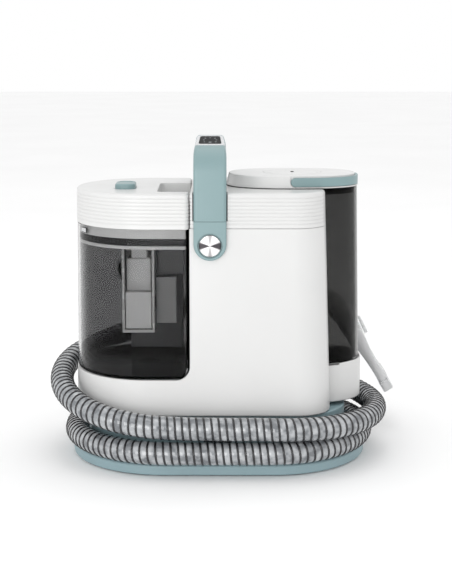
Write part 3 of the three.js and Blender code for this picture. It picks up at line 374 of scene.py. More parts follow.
def body_ring(z, inset):
    return level(box_outline(
        left_edge(z) + inset, right_edge(z) - inset, SHELL.y0 + inset, -SHELL.y0 - inset,
        END_RADIUS - inset, CORNER_RADIUS - inset), z)


def tower_ring(z, inset):
    return level(box_outline(
        COVER.x0 + inset, right_edge(z) - inset, SHELL.y0 + inset, -SHELL.y0 - inset,
        max(WALL + GAP - inset, 0.4), CORNER_RADIUS - inset), z)


def tank_ring(z, inset):
    return level(box_outline(
        left_edge(z) + TANK_SETBACK + inset, TANK.x1 - inset, TANK.y0 + inset, TANK.y1 - inset,
        TANK_END_RADIUS - inset, max(5 - inset, 1)), z)


def oval_reach(z):
    return OVAL_REACH - z * OVAL_LEAN


OVAL_X = FILL_CAP.x
OVAL_Y = FILL_CAP.y
OVAL_HALF_WIDTH = OVAL_X - OVAL.x0
OVAL_HALF_DEPTH = (OVAL.y1 - OVAL.y0) / 2


def oval_ring(z, grow, reach=None, count=96):
    """The clean tank's outline, grown by grow, with a long right end that leans in with height."""
    reach = oval_reach(z) if reach is None else reach
    ring = []
    for i in range(count):
        angle = 2 * math.pi * i / count
        across = math.copysign(abs(math.cos(angle)) ** (2 / OVAL_POWER), math.cos(angle))
        along = math.copysign(abs(math.sin(angle)) ** (2 / OVAL_POWER), math.sin(angle))
        half = reach if across > 0 else OVAL_HALF_WIDTH
        ring.append((OVAL_X + (half + grow) * across, OVAL_Y + (OVAL_HALF_DEPTH + grow) * along, z))
    return ring


def sweep(name, ring, profile, closed=False):
    """The skin of a profile of (height, inset) pairs taken round an outline."""
    return loft(name, [ring(z, inset) for z, inset in profile], closed)


def round_in(z, inset, radius, upward, steps=5):
    """A rounded edge in a profile: from the wall at inset to the flat at height z."""
    turn = []
    for i in range(steps + 1):
        angle = math.pi / 2 * i / steps
        drop = radius * (1 - math.sin(angle))
        turn.append((z - drop if upward else z + drop, inset + radius * (1 - math.cos(angle))))
    return turn if upward else turn[::-1]


def ribs(z0, z1):
    """Fine horizontal grooves between two heights of a wall."""
    count = int((z1 - z0) // RIB_PITCH)
    first = z0 + ((z1 - z0) - (count - 1) * RIB_PITCH) / 2
    profile = []
    for i in range(count):
        z = first + i * RIB_PITCH
        profile += [(z - RIB_HALF, 0), (z - RIB_HALF_FLOOR, RIB_DEPTH), (z + RIB_HALF_FLOOR, RIB_DEPTH),
                    (z + RIB_HALF, 0)]
    return profile


def offset(outline, inset):
    """A flat closed outline moved inwards by inset; it runs anticlockwise."""
    count = len(outline)
    moved = []
    for i in range(count):
        before = Vector(outline[i]) - Vector(outline[i - 1])
        after = Vector(outline[(i + 1) % count]) - Vector(outline[i])
        normal = Vector((-before.y, before.x)).normalized() + Vector((-after.y, after.x)).normalized()
        normal.normalize()
        stretch = max(normal.dot(Vector((-after.y, after.x)).normalized()), 0.5)
        moved.append(Vector(outline[i]) + normal * (inset / stretch))
    return moved


def pillow(name, outline, stations, place):
    """A flat outline pulled through (depth, inset) stations; place(u, v, depth) puts it in space."""
    rings = []
    for depth, inset in stations:
        rings.append([place(u, v, depth) for u, v in offset(outline, inset)])
    return loft(name, rings)


def rounded_stations(d0, d1, radius, steps=4):
    """Stations of a plate between two depths whose two rims are rounded."""
    start = [(d0 + drop, inset) for drop, inset in arc_pairs(radius, steps)]
    end = [(d1 - drop, inset) for drop, inset in reversed(arc_pairs(radius, steps))]
    return start + end


def arc_pairs(radius, steps):
    """Pairs of (depth, inset) round a rim, from its flat face to its side."""
    pairs = []
    for i in range(steps + 1):
        angle = math.pi / 2 * i / steps
        pairs.append((radius * (1 - math.cos(angle)), radius * (1 - math.sin(angle))))
    return pairs


def lathe(name, profile, centre, axis="Z", count=64):
    """A closed profile of (radius, height) pairs turned about an axis through centre."""
    rings = []
    for radius, height in profile:
        ring = []
        for i in range(count):
            angle = 2 * math.pi * i / count
            u, v = max(radius, 0.01) * math.cos(angle), max(radius, 0.01) * math.sin(angle)
            turned = {"Z": (u, v, height), "Y": (u, -height, v), "X": (height, u, v)}[axis]
            ring.append(tuple(a + b for a, b in zip(turned, centre)))
        rings.append(ring)
    return loft(name, rings)


# ---------- lines and tubes ----------
def smootherstep(value, start, end):
    """Goes smoothly from 0 at start to 1 at end."""
    t = min(max((value - start) / (end - start), 0), 1)
    return t * t * t * (t * (t * 6 - 15) + 10)


def curve_points(knots, spacing):
    """A centripetal Catmull-Rom curve through the knots, resampled at even spacing."""
    knots = [Vector(knot) for knot in knots]
    ends = [2 * knots[0] - knots[1]] + knots + [2 * knots[-1] - knots[-2]]
    fine = []
    for i in range(1, len(ends) - 2):
        four = ends[i - 1:i + 3]
        times = [0.0]
        for a, b in zip(four, four[1:]):
            times.append(times[-1] + max((b - a).length, 1e-6) ** 0.5)
        for step in range(24):
            t = times[1] + (times[2] - times[1]) * step / 24
            fine.append(barry_goldman(four, times, t))
    fine.append(knots[-1])
    return resample(fine, spacing)


def between(a, b, start, end, t):
    return (a * (end - t) + b * (t - start)) / (end - start)


def barry_goldman(four, times, t):
    """A point of the Catmull-Rom span between the second and third of four knots."""
    first = [between(four[k], four[k + 1], times[k], times[k + 1], t) for k in range(3)]
    second = [between(first[k], first[k + 1], times[k], times[k + 2], t) for k in range(2)]
    return between(second[0], second[1], times[1], times[2], t)


def distances(points):
    """How far along the line each of its points lies."""
    reach = [0.0]
    for a, b in zip(points, points[1:]):
        reach.append(reach[-1] + (b - a).length)
    return reach


def walk(reach, targets):
    """For each distance along a line, the span that it falls in and its share of that span."""
    k = 0
    for target in targets:
        while k < len(reach) - 2 and reach[k + 1] < target:
            k += 1
        yield k, (target - reach[k]) / max(reach[k + 1] - reach[k], 1e-9)


def resample(points, spacing):
    """The line again, with points at even distances."""
    reach = distances(points)
    count = max(int(round(reach[-1] / spacing)), 2)
    targets = [reach[-1] * i / count for i in range(count + 1)]
    return [points[k].lerp(points[k + 1], share) for k, share in walk(reach, targets)]


def frames_along(points):
    """Tangent and two side directions at each point, turned as little as possible."""
    tangents = []
    for i in range(len(points)):
        a = points[max(i - 1, 0)]
        b = points[min(i + 1, len(points) - 1)]
        tangents.append((b - a).normalized())
    side = tangents[0].orthogonal().normalized()
    frames = []
    for tangent in tangents:
        side = (side - tangent * side.dot(tangent)).normalized()
        frames.append((tangent, side, tangent.cross(side)))
    return frames


def tube(name, points, radius, sides=24):
    """A tube along points; radius is a number or a function of (distance, angle)."""
    rings = []
    for point, reach, (_, side, other) in zip(points, distances(points), frames_along(points)):
        ring = []
        for j in range(sides):
            angle = 2 * math.pi * j / sides
            r = radius(reach, angle) if callable(radius) else radius
            ring.append(tuple(point + (side * math.cos(angle) + other * math.sin(angle)) * r))
        rings.append(ring)
    return loft(name, rings)


def helix(name, points, pitch, radius, wire, steps=18, sides=8):
    """A round wire wound about a line of points."""
    frames = frames_along(points)
    reach = distances(points)
    targets = [min(i * pitch / steps, reach[-1]) for i in range(int(reach[-1] / pitch * steps) + 1)]
    rings = []
    for i, (k, share) in enumerate(walk(reach, targets)):
        tangent, side, other = (a.lerp(b, share) for a, b in zip(frames[k], frames[k + 1]))
        angle = 2 * math.pi * i / steps
        out = side * math.cos(angle) + other * math.sin(angle)
        middle = points[k].lerp(points[k + 1], share) + out * radius
        rings.append([
            tuple(middle + out * (wire * math.cos(2 * math.pi * j / sides))
                  + tangent * (wire * math.sin(2 * math.pi * j / sides)))
            for j in range(sides)])
    return loft(name, rings)


# ---------- materials ----------
def shader(name):
    """A new material, with its nodes, its links and its main shader."""
    material = bpy.data.materials.new(name)
    material.use_nodes = True
    nodes = material.node_tree.nodes
    return material, nodes, material.node_tree.links, nodes["Principled BSDF"]


def noise(nodes, links, scale, detail=4.0, stretch=None):
    """Noise over the object's own place, so that it rides with the piece."""
    place = nodes.new("ShaderNodeTexCoord")
    texture = nodes.new("ShaderNodeTexNoise")
    texture.inputs["Scale"].default_value = scale
    texture.inputs["Detail"].default_value = detail
    source = place.outputs["Object"]
    if stretch:
        mapping = nodes.new("ShaderNodeMapping")
        mapping.inputs["Scale"].default_value = stretch
        links.new(source, mapping.inputs["Vector"])
        source = mapping.outputs["Vector"]
    links.new(source, texture.inputs["Vector"])
    return texture.outputs["Fac"]


def spread(nodes, links, source, low, high):
    """Maps a noise output to a range of numbers."""
    mapping = nodes.new("ShaderNodeMapRange")
    mapping.inputs["From Min"].default_value = 0.3
    mapping.inputs["From Max"].default_value = 0.7
    mapping.inputs["To Min"].default_value = low
    mapping.inputs["To Max"].default_value = high
    links.new(source, mapping.inputs["Value"])
    return mapping.outputs["Result"]


def tint(nodes, links, source, dark, light):
    """Maps a noise output to a colour between dark and light."""
    ramp = nodes.new("ShaderNodeValToRGB")
    ramp.color_ramp.elements[0].position = 0.35
    ramp.color_ramp.elements[1].position = 0.65
    ramp.color_ramp.elements[0].color = (*dark, 1)
    ramp.color_ramp.elements[1].color = (*light, 1)
    links.new(source, ramp.inputs["Fac"])
    return ramp.outputs["Color"]


def bump(nodes, links, source, bsdf, strength, distance):
    """Raises the surface by a noise output."""
    relief = nodes.new("ShaderNodeBump")
    relief.inputs["Strength"].default_value = strength
    relief.inputs["Distance"].default_value = distance
    links.new(source, relief.inputs["Height"])
    links.new(relief.outputs["Normal"], bsdf.inputs["Normal"])


def scaled(colour, factor):
    return tuple(min(value * factor, 1) for value in colour)


def plastic(name, colour, roughness, grain=2200, relief=0.05, coat=0.0, vary=0.03, shine=0.5):
    """Moulded plastic: a fine grain, with slow changes of tone and of gloss."""
    material, nodes, links, bsdf = shader(name)
    slow = noise(nodes, links, 9)
    links.new(tint(nodes, links, slow, scaled(colour, 1 - vary), colour), bsdf.inputs["Base Color"])
    links.new(spread(nodes, links, noise(nodes, links, 35), roughness * 0.85, roughness * 1.15),
              bsdf.inputs["Roughness"])
    bsdf.inputs["Coat Weight"].default_value = coat
    bsdf.inputs["Coat Roughness"].default_value = 0.12
    bsdf.inputs["Specular IOR Level"].default_value = shine
    bump(nodes, links, noise(nodes, links, grain, 2), bsdf, relief, 0.0002)
    return material


def front_to_back(nodes, links, front, behind):
    """The front colour on the front half of a piece, and a second colour on its back half, which the smoked
    tanks use as painted shade.
    """
    place = nodes.new("ShaderNodeTexCoord")
    split = nodes.new("ShaderNodeSeparateXYZ")
    links.new(place.outputs["Object"], split.inputs["Vector"])
    depth = nodes.new("ShaderNodeMapRange")
    depth.inputs["From Min"].default_value = -0.03
    depth.inputs["From Max"].default_value = 0.03
    links.new(split.outputs["Y"], depth.inputs["Value"])
    mix = nodes.new("ShaderNodeMix")
    mix.data_type = "RGBA"
    links.new(depth.outputs["Result"], mix.inputs["Factor"])
    links.new(front, mix.inputs[6])
    mix.inputs[7].default_value = (*behind, 1)
    return mix.outputs[2]


def clear_plastic(name, colour, roughness=0.0, behind=None, clarity=1.0, bending=1.14, vary=0.06):
    """Tinted clear plastic with faint moulding streaks; its back half may be tinted darker, as painted shade
    for the view through it.
    """
    material, nodes, links, bsdf = shader(name)
    streaks = noise(nodes, links, 40, 3, (1, 1, 0.15))
    shade = tint(nodes, links, streaks, scaled(colour, 1 - vary), colour)
    if behind:
        shade = front_to_back(nodes, links, shade, behind)
    links.new(shade, bsdf.inputs["Base Color"])
    links.new(spread(nodes, links, noise(nodes, links, 25), roughness * 0.6, roughness * 1.4),
              bsdf.inputs["Roughness"])
    bsdf.inputs["Transmission Weight"].default_value = clarity
    bsdf.inputs["IOR"].default_value = bending
    return material


def metal(name, colour, roughness, stretch=(1, 1, 30)):
    """Brushed metal, with scratches drawn out along one direction."""
    material, nodes, links, bsdf = shader(name)
    bsdf.inputs["Metallic"].default_value = 1.0
    scratches = noise(nodes, links, 500, 3, stretch)
    links.new(tint(nodes, links, scratches, scaled(colour, 0.8), colour), bsdf.inputs["Base Color"])
    links.new(spread(nodes, links, scratches, roughness * 0.7, roughness * 1.4), bsdf.inputs["Roughness"])
    bump(nodes, links, scratches, bsdf, 0.1, 0.0001)
    return material


def hose_wall(name):
    """Hose wall that reads as clear: grey and glossy, with a soft mottle."""
    material, nodes, links, bsdf = shader(name)
    mottle = noise(nodes, links, 75, 2, (1, 1, 1.6))
    shade = tint(nodes, links, mottle, (0.14, 0.15, 0.163), (0.42, 0.435, 0.45))
    links.new(shade, bsdf.inputs["Base Color"])
    links.new(spread(nodes, links, noise(nodes, links, 90), 0.06, 0.14), bsdf.inputs["Roughness"])
    bsdf.inputs["Coat Weight"].default_value = 1.0
    bsdf.inputs["Coat Roughness"].default_value = 0.06
    bump(nodes, links, noise(nodes, links, 120, 2), bsdf, 0.3, 0.0005)
    return material


def reckon(nodes, links, operation, *values):
    """One step of arithmetic on sockets and numbers."""
    step = nodes.new("ShaderNodeMath")
    step.operation = operation
    for i, value in enumerate(values):
        if isinstance(value, (int, float)):
            step.inputs[i].default_value = value
        else:
            links.new(value, step.inputs[i])
    return step.outputs["Value"]


def spun_metal_painted_reflection(name, centre):
    """A face turned on a lathe: a painted reflection in bright and dark sectors that run out from its centre.
    """
    material, nodes, links, bsdf = shader(name)
    bsdf.inputs["Metallic"].default_value = 1.0
    place = nodes.new("ShaderNodeTexCoord")
    shift = nodes.new("ShaderNodeVectorMath")
    shift.operation = "SUBTRACT"
    shift.inputs[1].default_value = [value * MM for value in centre]
    links.new(place.outputs["Object"], shift.inputs[0])
    split = nodes.new("ShaderNodeSeparateXYZ")
    links.new(shift.outputs["Vector"], split.inputs["Vector"])
    # Painted reflection: the colour turns bright and dark with the angle about the centre, not with the
    # lamps.
    turn = reckon(nodes, links, "ARCTAN2", split.outputs["Z"], split.outputs["X"])
    four = reckon(nodes, links, "COSINE", reckon(nodes, links, "MULTIPLY", turn, 4))
    two = reckon(nodes, links, "COSINE", reckon(nodes, links, "MULTIPLY", turn, 2))
    sectors = reckon(nodes, links, "ADD", four, reckon(nodes, links, "MULTIPLY", two, 0.45))
    ramp = nodes.new("ShaderNodeValToRGB")
    ramp.color_ramp.elements[0].position = 0.05
    ramp.color_ramp.elements[0].color = (0.72, 0.71, 0.71, 1)
    ramp.color_ramp.elements[1].position = 0.85
    ramp.color_ramp.elements[1].color = (0.07, 0.065, 0.07, 1)
    links.new(sectors, ramp.inputs["Fac"])
    links.new(ramp.outputs["Color"], bsdf.inputs["Base Color"])
    links.new(spread(nodes, links, noise(nodes, links, 900, 3), 0.34, 0.5), bsdf.inputs["Roughness"])
    return material


WHITE = plastic("white_plastic", (0.655, 0.655, 0.65), 0.34, coat=0.15)
TEAL = plastic("teal_plastic", (0.21, 0.312, 0.323), 0.4, coat=0.1)
BASE_TEAL = plastic("base_teal_plastic", (0.25, 0.355, 0.385), 0.42)
LIGHT_GREY = plastic("light_grey_plastic", (0.42, 0.42, 0.42), 0.45)
MID_GREY = plastic("mid_grey_plastic", (0.22, 0.22, 0.22), 0.45)
PALE_GREY = plastic("pale_grey_plastic", (0.58, 0.58, 0.58), 0.4)
DARK_GREY = plastic("dark_grey_plastic", (0.03, 0.031, 0.034), 0.42, grain=1500, relief=0.15)
RUBBER = plastic("rubber", (0.012, 0.012, 0.013), 0.75, grain=1200, relief=0.3)
BOARD = plastic("board_laminate", (0.02, 0.14, 0.06), 0.5, vary=0.25)
GLASS_BLACK = plastic("display_black", (0.003, 0.003, 0.004), 0.35, relief=0.0, shine=0.03)
ICON = plastic("display_icon", (0.16, 0.17, 0.18), 0.3, relief=0.0)
SILVER = metal("satin_silver", (0.78, 0.79, 0.80), 0.28)
STEEL = metal("steel", (0.55, 0.56, 0.58), 0.3)
SPUN = spun_metal_painted_reflection("spun_steel_painted_reflection", (DISC.x, DISC.y, DISC.z))
# The smoked tanks' back halves are tinted much darker than their fronts. This is partly smoked tint and
# partly painted shade, which darkens the view through each tank while the lighter front lets light reach the
# parts inside.
SMOKED = clear_plastic("smoked_plastic", (0.79, 0.79, 0.79), behind=(0.1, 0.1, 0.102))
DARK_SMOKED = clear_plastic("dark_smoked_plastic", (0.27, 0.27, 0.266), behind=(0.17, 0.17, 0.168))
CLEAR = clear_plastic("frosted_plastic", (0.84, 0.845, 0.85), 0.35, clarity=0.45, bending=1.4)
CAGE_CLEAR = clear_plastic("cage_plastic", (0.5, 0.5, 0.5), 0.3, clarity=0.3, bending=1.4)
HOSE_CLEAR = hose_wall("hose_wall")
HOSE_BLACK = plastic("hose_rib", (0.012, 0.012, 0.014), 0.22, relief=0.02, coat=0.3)


# ---------- hose ----------
def loop_point(fraction, half_length, radius, z):
    """A point on a loop round the base, from the middle of the back and to the right."""
    straight = half_length - radius
    half_turn = math.pi * radius
    way = (fraction % 1) * (4 * straight + 2 * half_turn)
    if way < straight:
        return (way, radius, z)
    if way < straight + half_turn:
        angle = (way - straight) / radius
        return (straight + radius * math.sin(angle), radius * math.cos(angle), z)
    if way < 3 * straight + half_turn:
        return (2 * straight + half_turn - way, -radius, z)
    if way < 3 * straight + 2 * half_turn:
        angle = (way - 3 * straight - half_turn) / radius
        return (-straight - radius * math.sin(angle), -radius * math.cos(angle), z)
    return (way - 4 * straight - 2 * half_turn, radius, z)


def hose_route():
    """Two turns round the waist, then up behind the machine to the hand tool."""
    route = [HOSE_START]
    for knot in HOSE_KNOTS:
        turn = knot / HOSE_STEPS
        wide = smootherstep(turn, *HOSE_WIDENS)
        rise = sum(height * smootherstep(turn, start, end) for height, start, end in HOSE_RISES)
        route.append(loop_point(turn, HOSE_HALF_LENGTH + HOSE_LONGER * wide,
                                HOSE_TURN_RADIUS + HOSE_ROUNDER * wide, HOSE_LOW + rise))
    return route + list(HOSE_TAIL)


def make_hose():
    """The bulging clear wall, the rib wound round it, and the line that they follow."""
    line = curve_points(hose_route(), HOSE_PITCH / 8)

    def wall(reach, angle):
        phase = (reach / HOSE_PITCH - angle / (2 * math.pi)) % 1
        return HOSE_BAND + HOSE_BULGE * math.sin(math.pi * phase) ** 0.7

    hose = tube("hose_tube", line, wall, 24)
    dress(hose, MACHINE, HOSE_CLEAR, "hose", ["hose"], sharp=80)
    rib = helix("hose_rib", line, HOSE_PITCH, HOSE_BAND + RIB_WIRE_OUT, RIB_WIRE)
    dress(rib, MACHINE, HOSE_BLACK, "hose", sharp=80)
    return hose, rib, line


# ---------- base ----------
def plate_ring(z, inset):
    radius = BASE.y1 - 0.1 - inset
    return level(box_outline(
        BASE.x0 + inset, BASE.x1 - inset, BASE.y0 + inset, BASE.y1 - inset, radius, radius, 32), z)


def waist_ring(z, inset):
    left, right = (radius - inset for radius in WAIST_RADII)
    return level(box_outline(WAIST_LEFT + inset, WAIST_RIGHT - inset, inset - WAIST_HALF_DEPTH,
                             WAIST_HALF_DEPTH - inset, left, right), z)


def make_foot(plate, node):
    """A round rubber foot with a hollow in its tread, and the pocket that it sits in."""
    foot = Box(node)
    radius = (foot.x1 - foot.x0) / 2
    middle = (foot.x, foot.y, 0)
    cut(plate, lathe("pocket", [(0, -1), (radius + GAP, -1), (radius + GAP, foot.z1 + GAP),
                                (0, foot.z1 + GAP)], middle, count=32))
    pad = lathe("rubber_" + node, [(0, 0.9), (6, 0.9), (7, 0), (10, 0), (radius, 1), (radius, foot.z1),
                                   (0, foot.z1)], middle, count=40)
    dress(pad, MACHINE, RUBBER, "rubber", [node])


def make_waist():
    """The drum, with the port that the hose leaves by, and the part of its top that shows."""
    edge = [(WAIST_TOP - 1.2, 0), (WAIST_TOP - 0.4, 0.3), (WAIST_TOP, 1), (WAIST_TOP, WALL)]
    waist = sweep("base_waist", waist_ring, [(WAIST_FOOT, 0)] + edge + [(WAIST_FOOT, WALL)], closed=True)
    cut(waist, lathe("port", [(0, 60), (17, 60), (17, 100), (0, 100)], (ELBOW.x0 + 15, 0, 36), "Y", 40))
    dress(waist, MACHINE, BASE_TEAL, "teal_shell", sharp=50)
    shelf = sweep("waist_shelf", waist_ring, [(WAIST_TOP - 3, 1), (WAIST_TOP - 0.2, 1)])
    common(shelf, block("right", SHELF_LEFT, FAR, -FAR, FAR, PLATE_TOP, FAR))
    dress(shelf, MACHINE, BASE_TEAL, "teal_shell", sharp=50)


def make_base():
    plate = sweep("base_tray", plate_ring, round_in(BASE.z0, 0, 2, False) + round_in(PLATE_TOP, 0, 3.2, True))
    cut(plate, sweep("hollow", waist_ring, [(PLATE_FLOOR, WALL), (PLATE_TOP + 6, WALL)]))
    for i in range(1, 5):
        make_foot(plate, f"foot_{i}")
    dress(plate, MACHINE, BASE_TEAL, "teal_shell", ["base_plate"], bevel=0.5, sharp=50)
    make_waist()


# ---------- shells ----------
def window_prism(right, bottom, radius):
    """Everything up and left of a rounded corner, right through the body."""
    corner = arc(right - radius, bottom + radius, radius, 270, 12)
    outline = [(-FAR, bottom)] + corner + [(right, FAR), (-FAR, FAR)]
    return loft("window", [[(x, y, z) for x, z in outline] for y in (-FAR, FAR)])


def oval_pocket():
    """The room that the clean tank stands in, open to the right."""
    return loft("pocket", [oval_ring(z, POCKET_GAP, POCKET_REACH) for z in (OVAL.z0 - 1, ARCH_CLEAR)])


def rod(x, y0, y1, z, radius, axis="Y", count=40):
    """A cylinder along Y at x, or along X at y = x when the axis is X; y0 and y1 are its ends."""
    low, high = (-y1, -y0) if axis == "Y" else (y0, y1)
    centre = (x, 0, z) if axis == "Y" else (0, x, z)
    return lathe("rod", [(0, low), (radius, low), (radius, high), (0, high)], centre, axis, count)


def make_spine():
    """The dark side of the tower that the dirty tank stands against, with its two ports."""
    spine = block("tower_side", COVER.x0, COVER.x0 + WALL, SHELL.y0 + 2.4, -SHELL.y0 - 2.4,
                  SPINE_FOOT, SHELL.z1)
    for node in ("inlet_seal", "outlet_seal"):
        seal = Box(node)
        cut(spine, rod(seal.y, -60, 0, seal.z, (seal.z1 - seal.z0) / 2 + GAP, "X"))
    dress(spine, MACHINE, DARK_GREY, "dark_grey", bevel=0.4)


def make_shells():
    """One closed skin, cut in half into the front and the rear shell."""
    profile = (round_in(SHELL.z0, 0, 2.4, False) + [(110, 0), (160, 0), (220, 0)]
               + round_in(SHELL.z1, 0, 0.7, True) + [(SHELL.z1, WALL), (SHELL.z0, WALL)])
    shell = sweep("body_front", body_ring, profile, closed=True)
    cut(shell, window_prism(COVER.x0 - 0.4, TANK.z0 - 0.4, WINDOW_RADIUS), oval_pocket())
    rear = shell.copy()
    rear.data = shell.data.copy()
    rear.name = "body_rear"
    SCENE.collection.objects.link(rear)
    cut(shell, block("half", -FAR, FAR, -SEAM, FAR, 0, FAR))
    cut(rear, block("half", -FAR, FAR, -FAR, SEAM, 0, FAR))
    grille = Box("exhaust_grille")
    gland = Box("cord_gland")
    cut(rear, block("opening", grille.x0 - GAP, grille.x1 + GAP, 80, 110, grille.z0 - GAP, grille.z1 + GAP),
        rod(gland.x, 80, 100, gland.z, GLAND_RADIUS + GAP))
    dress(shell, MACHINE, WHITE, "white_shell", ["front_shell"], bevel=0.7, sharp=40)
    dress(rear, MACHINE, WHITE, "white_shell", ["rear_shell"], bevel=0.7, sharp=40)
    make_spine()


def make_cover():
    """The ribbed band and the top of the tower, open over the clean tank and for the handle's legs."""
    profile = ([(COVER.z1 - WALL, WALL), (COVER.z0, WALL), (COVER.z0, 0.5), (COVER.z0 + 0.5, 0)]
               + ribs(COVER.z0 + 2, COVER.z1 - 3) + round_in(COVER.z1, 0, 3, True))
    cover = sweep("tower_cap", tower_ring, profile)
    cut(cover, oval_pocket())
    for side in (-1, 1):
        y0, y1 = sorted((side * HANDLE_SLOT, side * FAR))
        cut(cover, block("slot", ARCH.x0 - 1.2, ARCH.x1 + 1.2, y0, y1, ARCH.z0 - GAP, ARCH_CLEAR))
    dress(cover, MACHINE, WHITE, "white_shell", ["top_cover"], bevel=0.5, sharp=60)


def make_cradle():
    """The seat under the clean tank, hollow and cut to the body's side."""
    reach = CRADLE.x1 - OVAL_X
    grow = (CRADLE.y1 - CRADLE.y0) / 2 - OVAL_HALF_DEPTH

    def ring(z, inset):
        return oval_ring(z, grow - inset, reach - grow)

    outer = sweep("tank_seat", ring, round_in(CRADLE.z0, 0, 2, False) + round_in(CRADLE.z1, 0, 0.8, True))
    seat = loft("seat", [oval_ring(OVAL.z0 - 0.6, 1), oval_ring(CRADLE.z1 + 1, 1)])
    room = sweep("room", ring, [(CRADLE.z0 + 2, WALL), (OVAL.z0 - 4, WALL)])
    body = sweep("body", body_ring, [(SHELL.z0 - 1, -GAP), (SHELL.z1, -GAP)])
    cut(outer, seat, room, body)
    dress(outer, MACHINE, WHITE, "white_shell", ["tank_cradle"], bevel=0.5, sharp=50)


# ---------- handle ----------
def quadratic(start, control, end, steps=10):
    """A soft bend between two points, without the first of them."""
    points = []
    for i in range(1, steps + 1):
        t = i / steps
        points.append(tuple((1 - t) ** 2 * a + 2 * t * (1 - t) * b + t * t * c
                            for a, b, c in zip(start, control, end)))
    return points


def arch_outline():
    """The arch from the side, as Y and Z: the inside from the front leg, then back along the outside."""
    outer, inner, foot = ARCH.y1, 82, ARCH.z0 - 10
    inside = [(-inner, foot), (-inner, 334)]
    inside += quadratic((-inner, 334), (-inner, 348.5), (-66, 351.5))
    inside += [(-46, 354.5), (-26, 357.5)]
    inside += quadratic((-26, 357.5), (-14, 359), (14, 353))
    inside += quadratic((14, 353), (54, 344), (72, 325))
    inside += quadratic((72, 325), (inner, 314), (inner, 303))
    inside += [(inner, foot)]
    outside = [(outer, foot), (outer, 304)]
    outside += quadratic((outer, 304), (outer, 322), (84, 338))
    outside += quadratic((84, 338), (62, 362), (12, 374))
    outside += quadratic((12, 374), (-14, 380.4), (-26, 379.2))
    outside += [(-48, 375.3), (-71, 371.3)]
    outside += quadratic((-71, 371.3), (-outer, 366.5), (-outer, 340))
    outside += [(-outer, foot)]
    return inside + outside


def arch_place(y, z, across):
    """Puts the outline in space; the arch narrows towards its top."""
    narrow = 1 - ARCH_NARROWS * smootherstep(z, *ARCH_NARROWS_BETWEEN)
    return (ARCH.x + across * narrow, y, z)


def pad_outline(grow):
    """The pad's share of the arch from the side, as Y and Z."""
    outline = [(60 + grow, 300), (60 + grow, 343)]
    outline += quadratic((60, 343), (50, 350), (14, 358 + grow))
    outline += quadratic((14, 358 + grow), (-14, 364 + grow), (-26, 362.5 + grow))
    outline += [(-62 - grow, 357 + grow), (-62 - grow, 300)]
    return outline


def pad_block(grow):
    x0, x1 = ARCH.x0 + 5 - grow, ARCH.x1 - 5 + grow
    return loft("pad", [[(x, y, z) for y, z in pad_outline(grow)] for x in (x0, x1)])


def arch_solid(name):
    half = (ARCH.x1 - ARCH.x0) / 2
    return pillow(name, arch_outline(), rounded_stations(-half, half, ARCH_RIM), arch_place)


def groove_top(y):
    """The bottom of a groove in the underside of the arch, about y."""
    underside = arch_outline()[:47]
    below = [(a, b) for a, b in zip(underside, underside[1:]) if a[0] <= y <= b[0]]
    (y0, z0), (y1, z1) = below[0]
    return z0 + (z1 - z0) * (y - y0) / max(y1 - y0, 0.01) + GROOVE_DEPTH


def make_handle():
    """The arch, and the grooved pad let into its underside."""
    arch = arch_solid("carry_handle")
    cut(arch, block("below", -FAR, FAR, -FAR, FAR, 0, ARCH.z0), pad_block(GAP))
    dress(arch, MACHINE, TEAL, "teal_shell", ["handle"], bevel=0.4, sharp=50)
    pad = common(arch_solid("grip_pad"), pad_block(0))
    for i in range(GROOVES):
        y = GROOVE_FIRST + i * GROOVE_PITCH
        top = groove_top(y + GROOVE_WIDTH / 2)
        cut(pad, block("groove", -FAR, FAR, y, y + GROOVE_WIDTH, 0, top))
    dress(pad, MACHINE, DARK_GREY, "dark_grey", ["handle_pad"], bevel=0.3, sharp=50)


def panel_place(u, v, depth):
    """Puts a point of the display in space: u to the right, v up the slope, depth out of it."""
    return (ARCH.x + u, PANEL_Y + v * math.cos(PANEL_TILT) - depth * math.sin(PANEL_TILT),
            PANEL_Z + v * math.sin(PANEL_TILT) + depth * math.cos(PANEL_TILT))


def panel_outline(front, back, half_length, radius, steps=6):
    """A rounded plate on the sloping panel, narrower at the back."""
    outline = []
    for x, y, start in ((-1, -1, 180), (1, -1, 270), (1, 1, 0), (-1, 1, 90)):
        for across, up in arc(0, 0, radius, start, steps):
            v = y * (half_length - radius) + up
            half = front + (back - front) * (v + half_length) / (2 * half_length)
            outline.append((x * (half - radius) + across, v))
    return outline


def make_display():
    """A silver frame, a black window in it and plain marks on the window."""
    bezel = pillow("display_bezel", panel_outline(16.8, 14.4, 22, 4.5),
                   [(-2.8, 0), (0.1, 0), (0.42, 0.25), (0.5, 0.7)], panel_place)
    cut(bezel, pillow("well", panel_outline(13, 11.2, 18, 3.2), [(-0.2, 0), (3, 0)], panel_place))
    dress(bezel, MACHINE, SILVER, "silver", ["display_frame"])
    glass = pillow("display_window", panel_outline(12.8, 11.0, 17.8, 3.1),
                   [(-0.4, 0), (0.35, 0), (0.45, 0.3)], panel_place)
    dress(glass, MACHINE, GLASS_BLACK, "display", ["display_glass"])
    marks = []
    for u, v, radius, sides in DISPLAY_MARKS:
        ring = arc(u, v, radius, 90, sides, 360)[:-1]
        marks.append(pillow("mark", ring, [(0.4, 0), (0.52, 0)], panel_place))
    with bpy.context.temp_override(active_object=marks[0], selected_editable_objects=marks):
        bpy.ops.object.join()
    marks[0].name = "display_marks"
    dress(marks[0], MACHINE, ICON, "display")


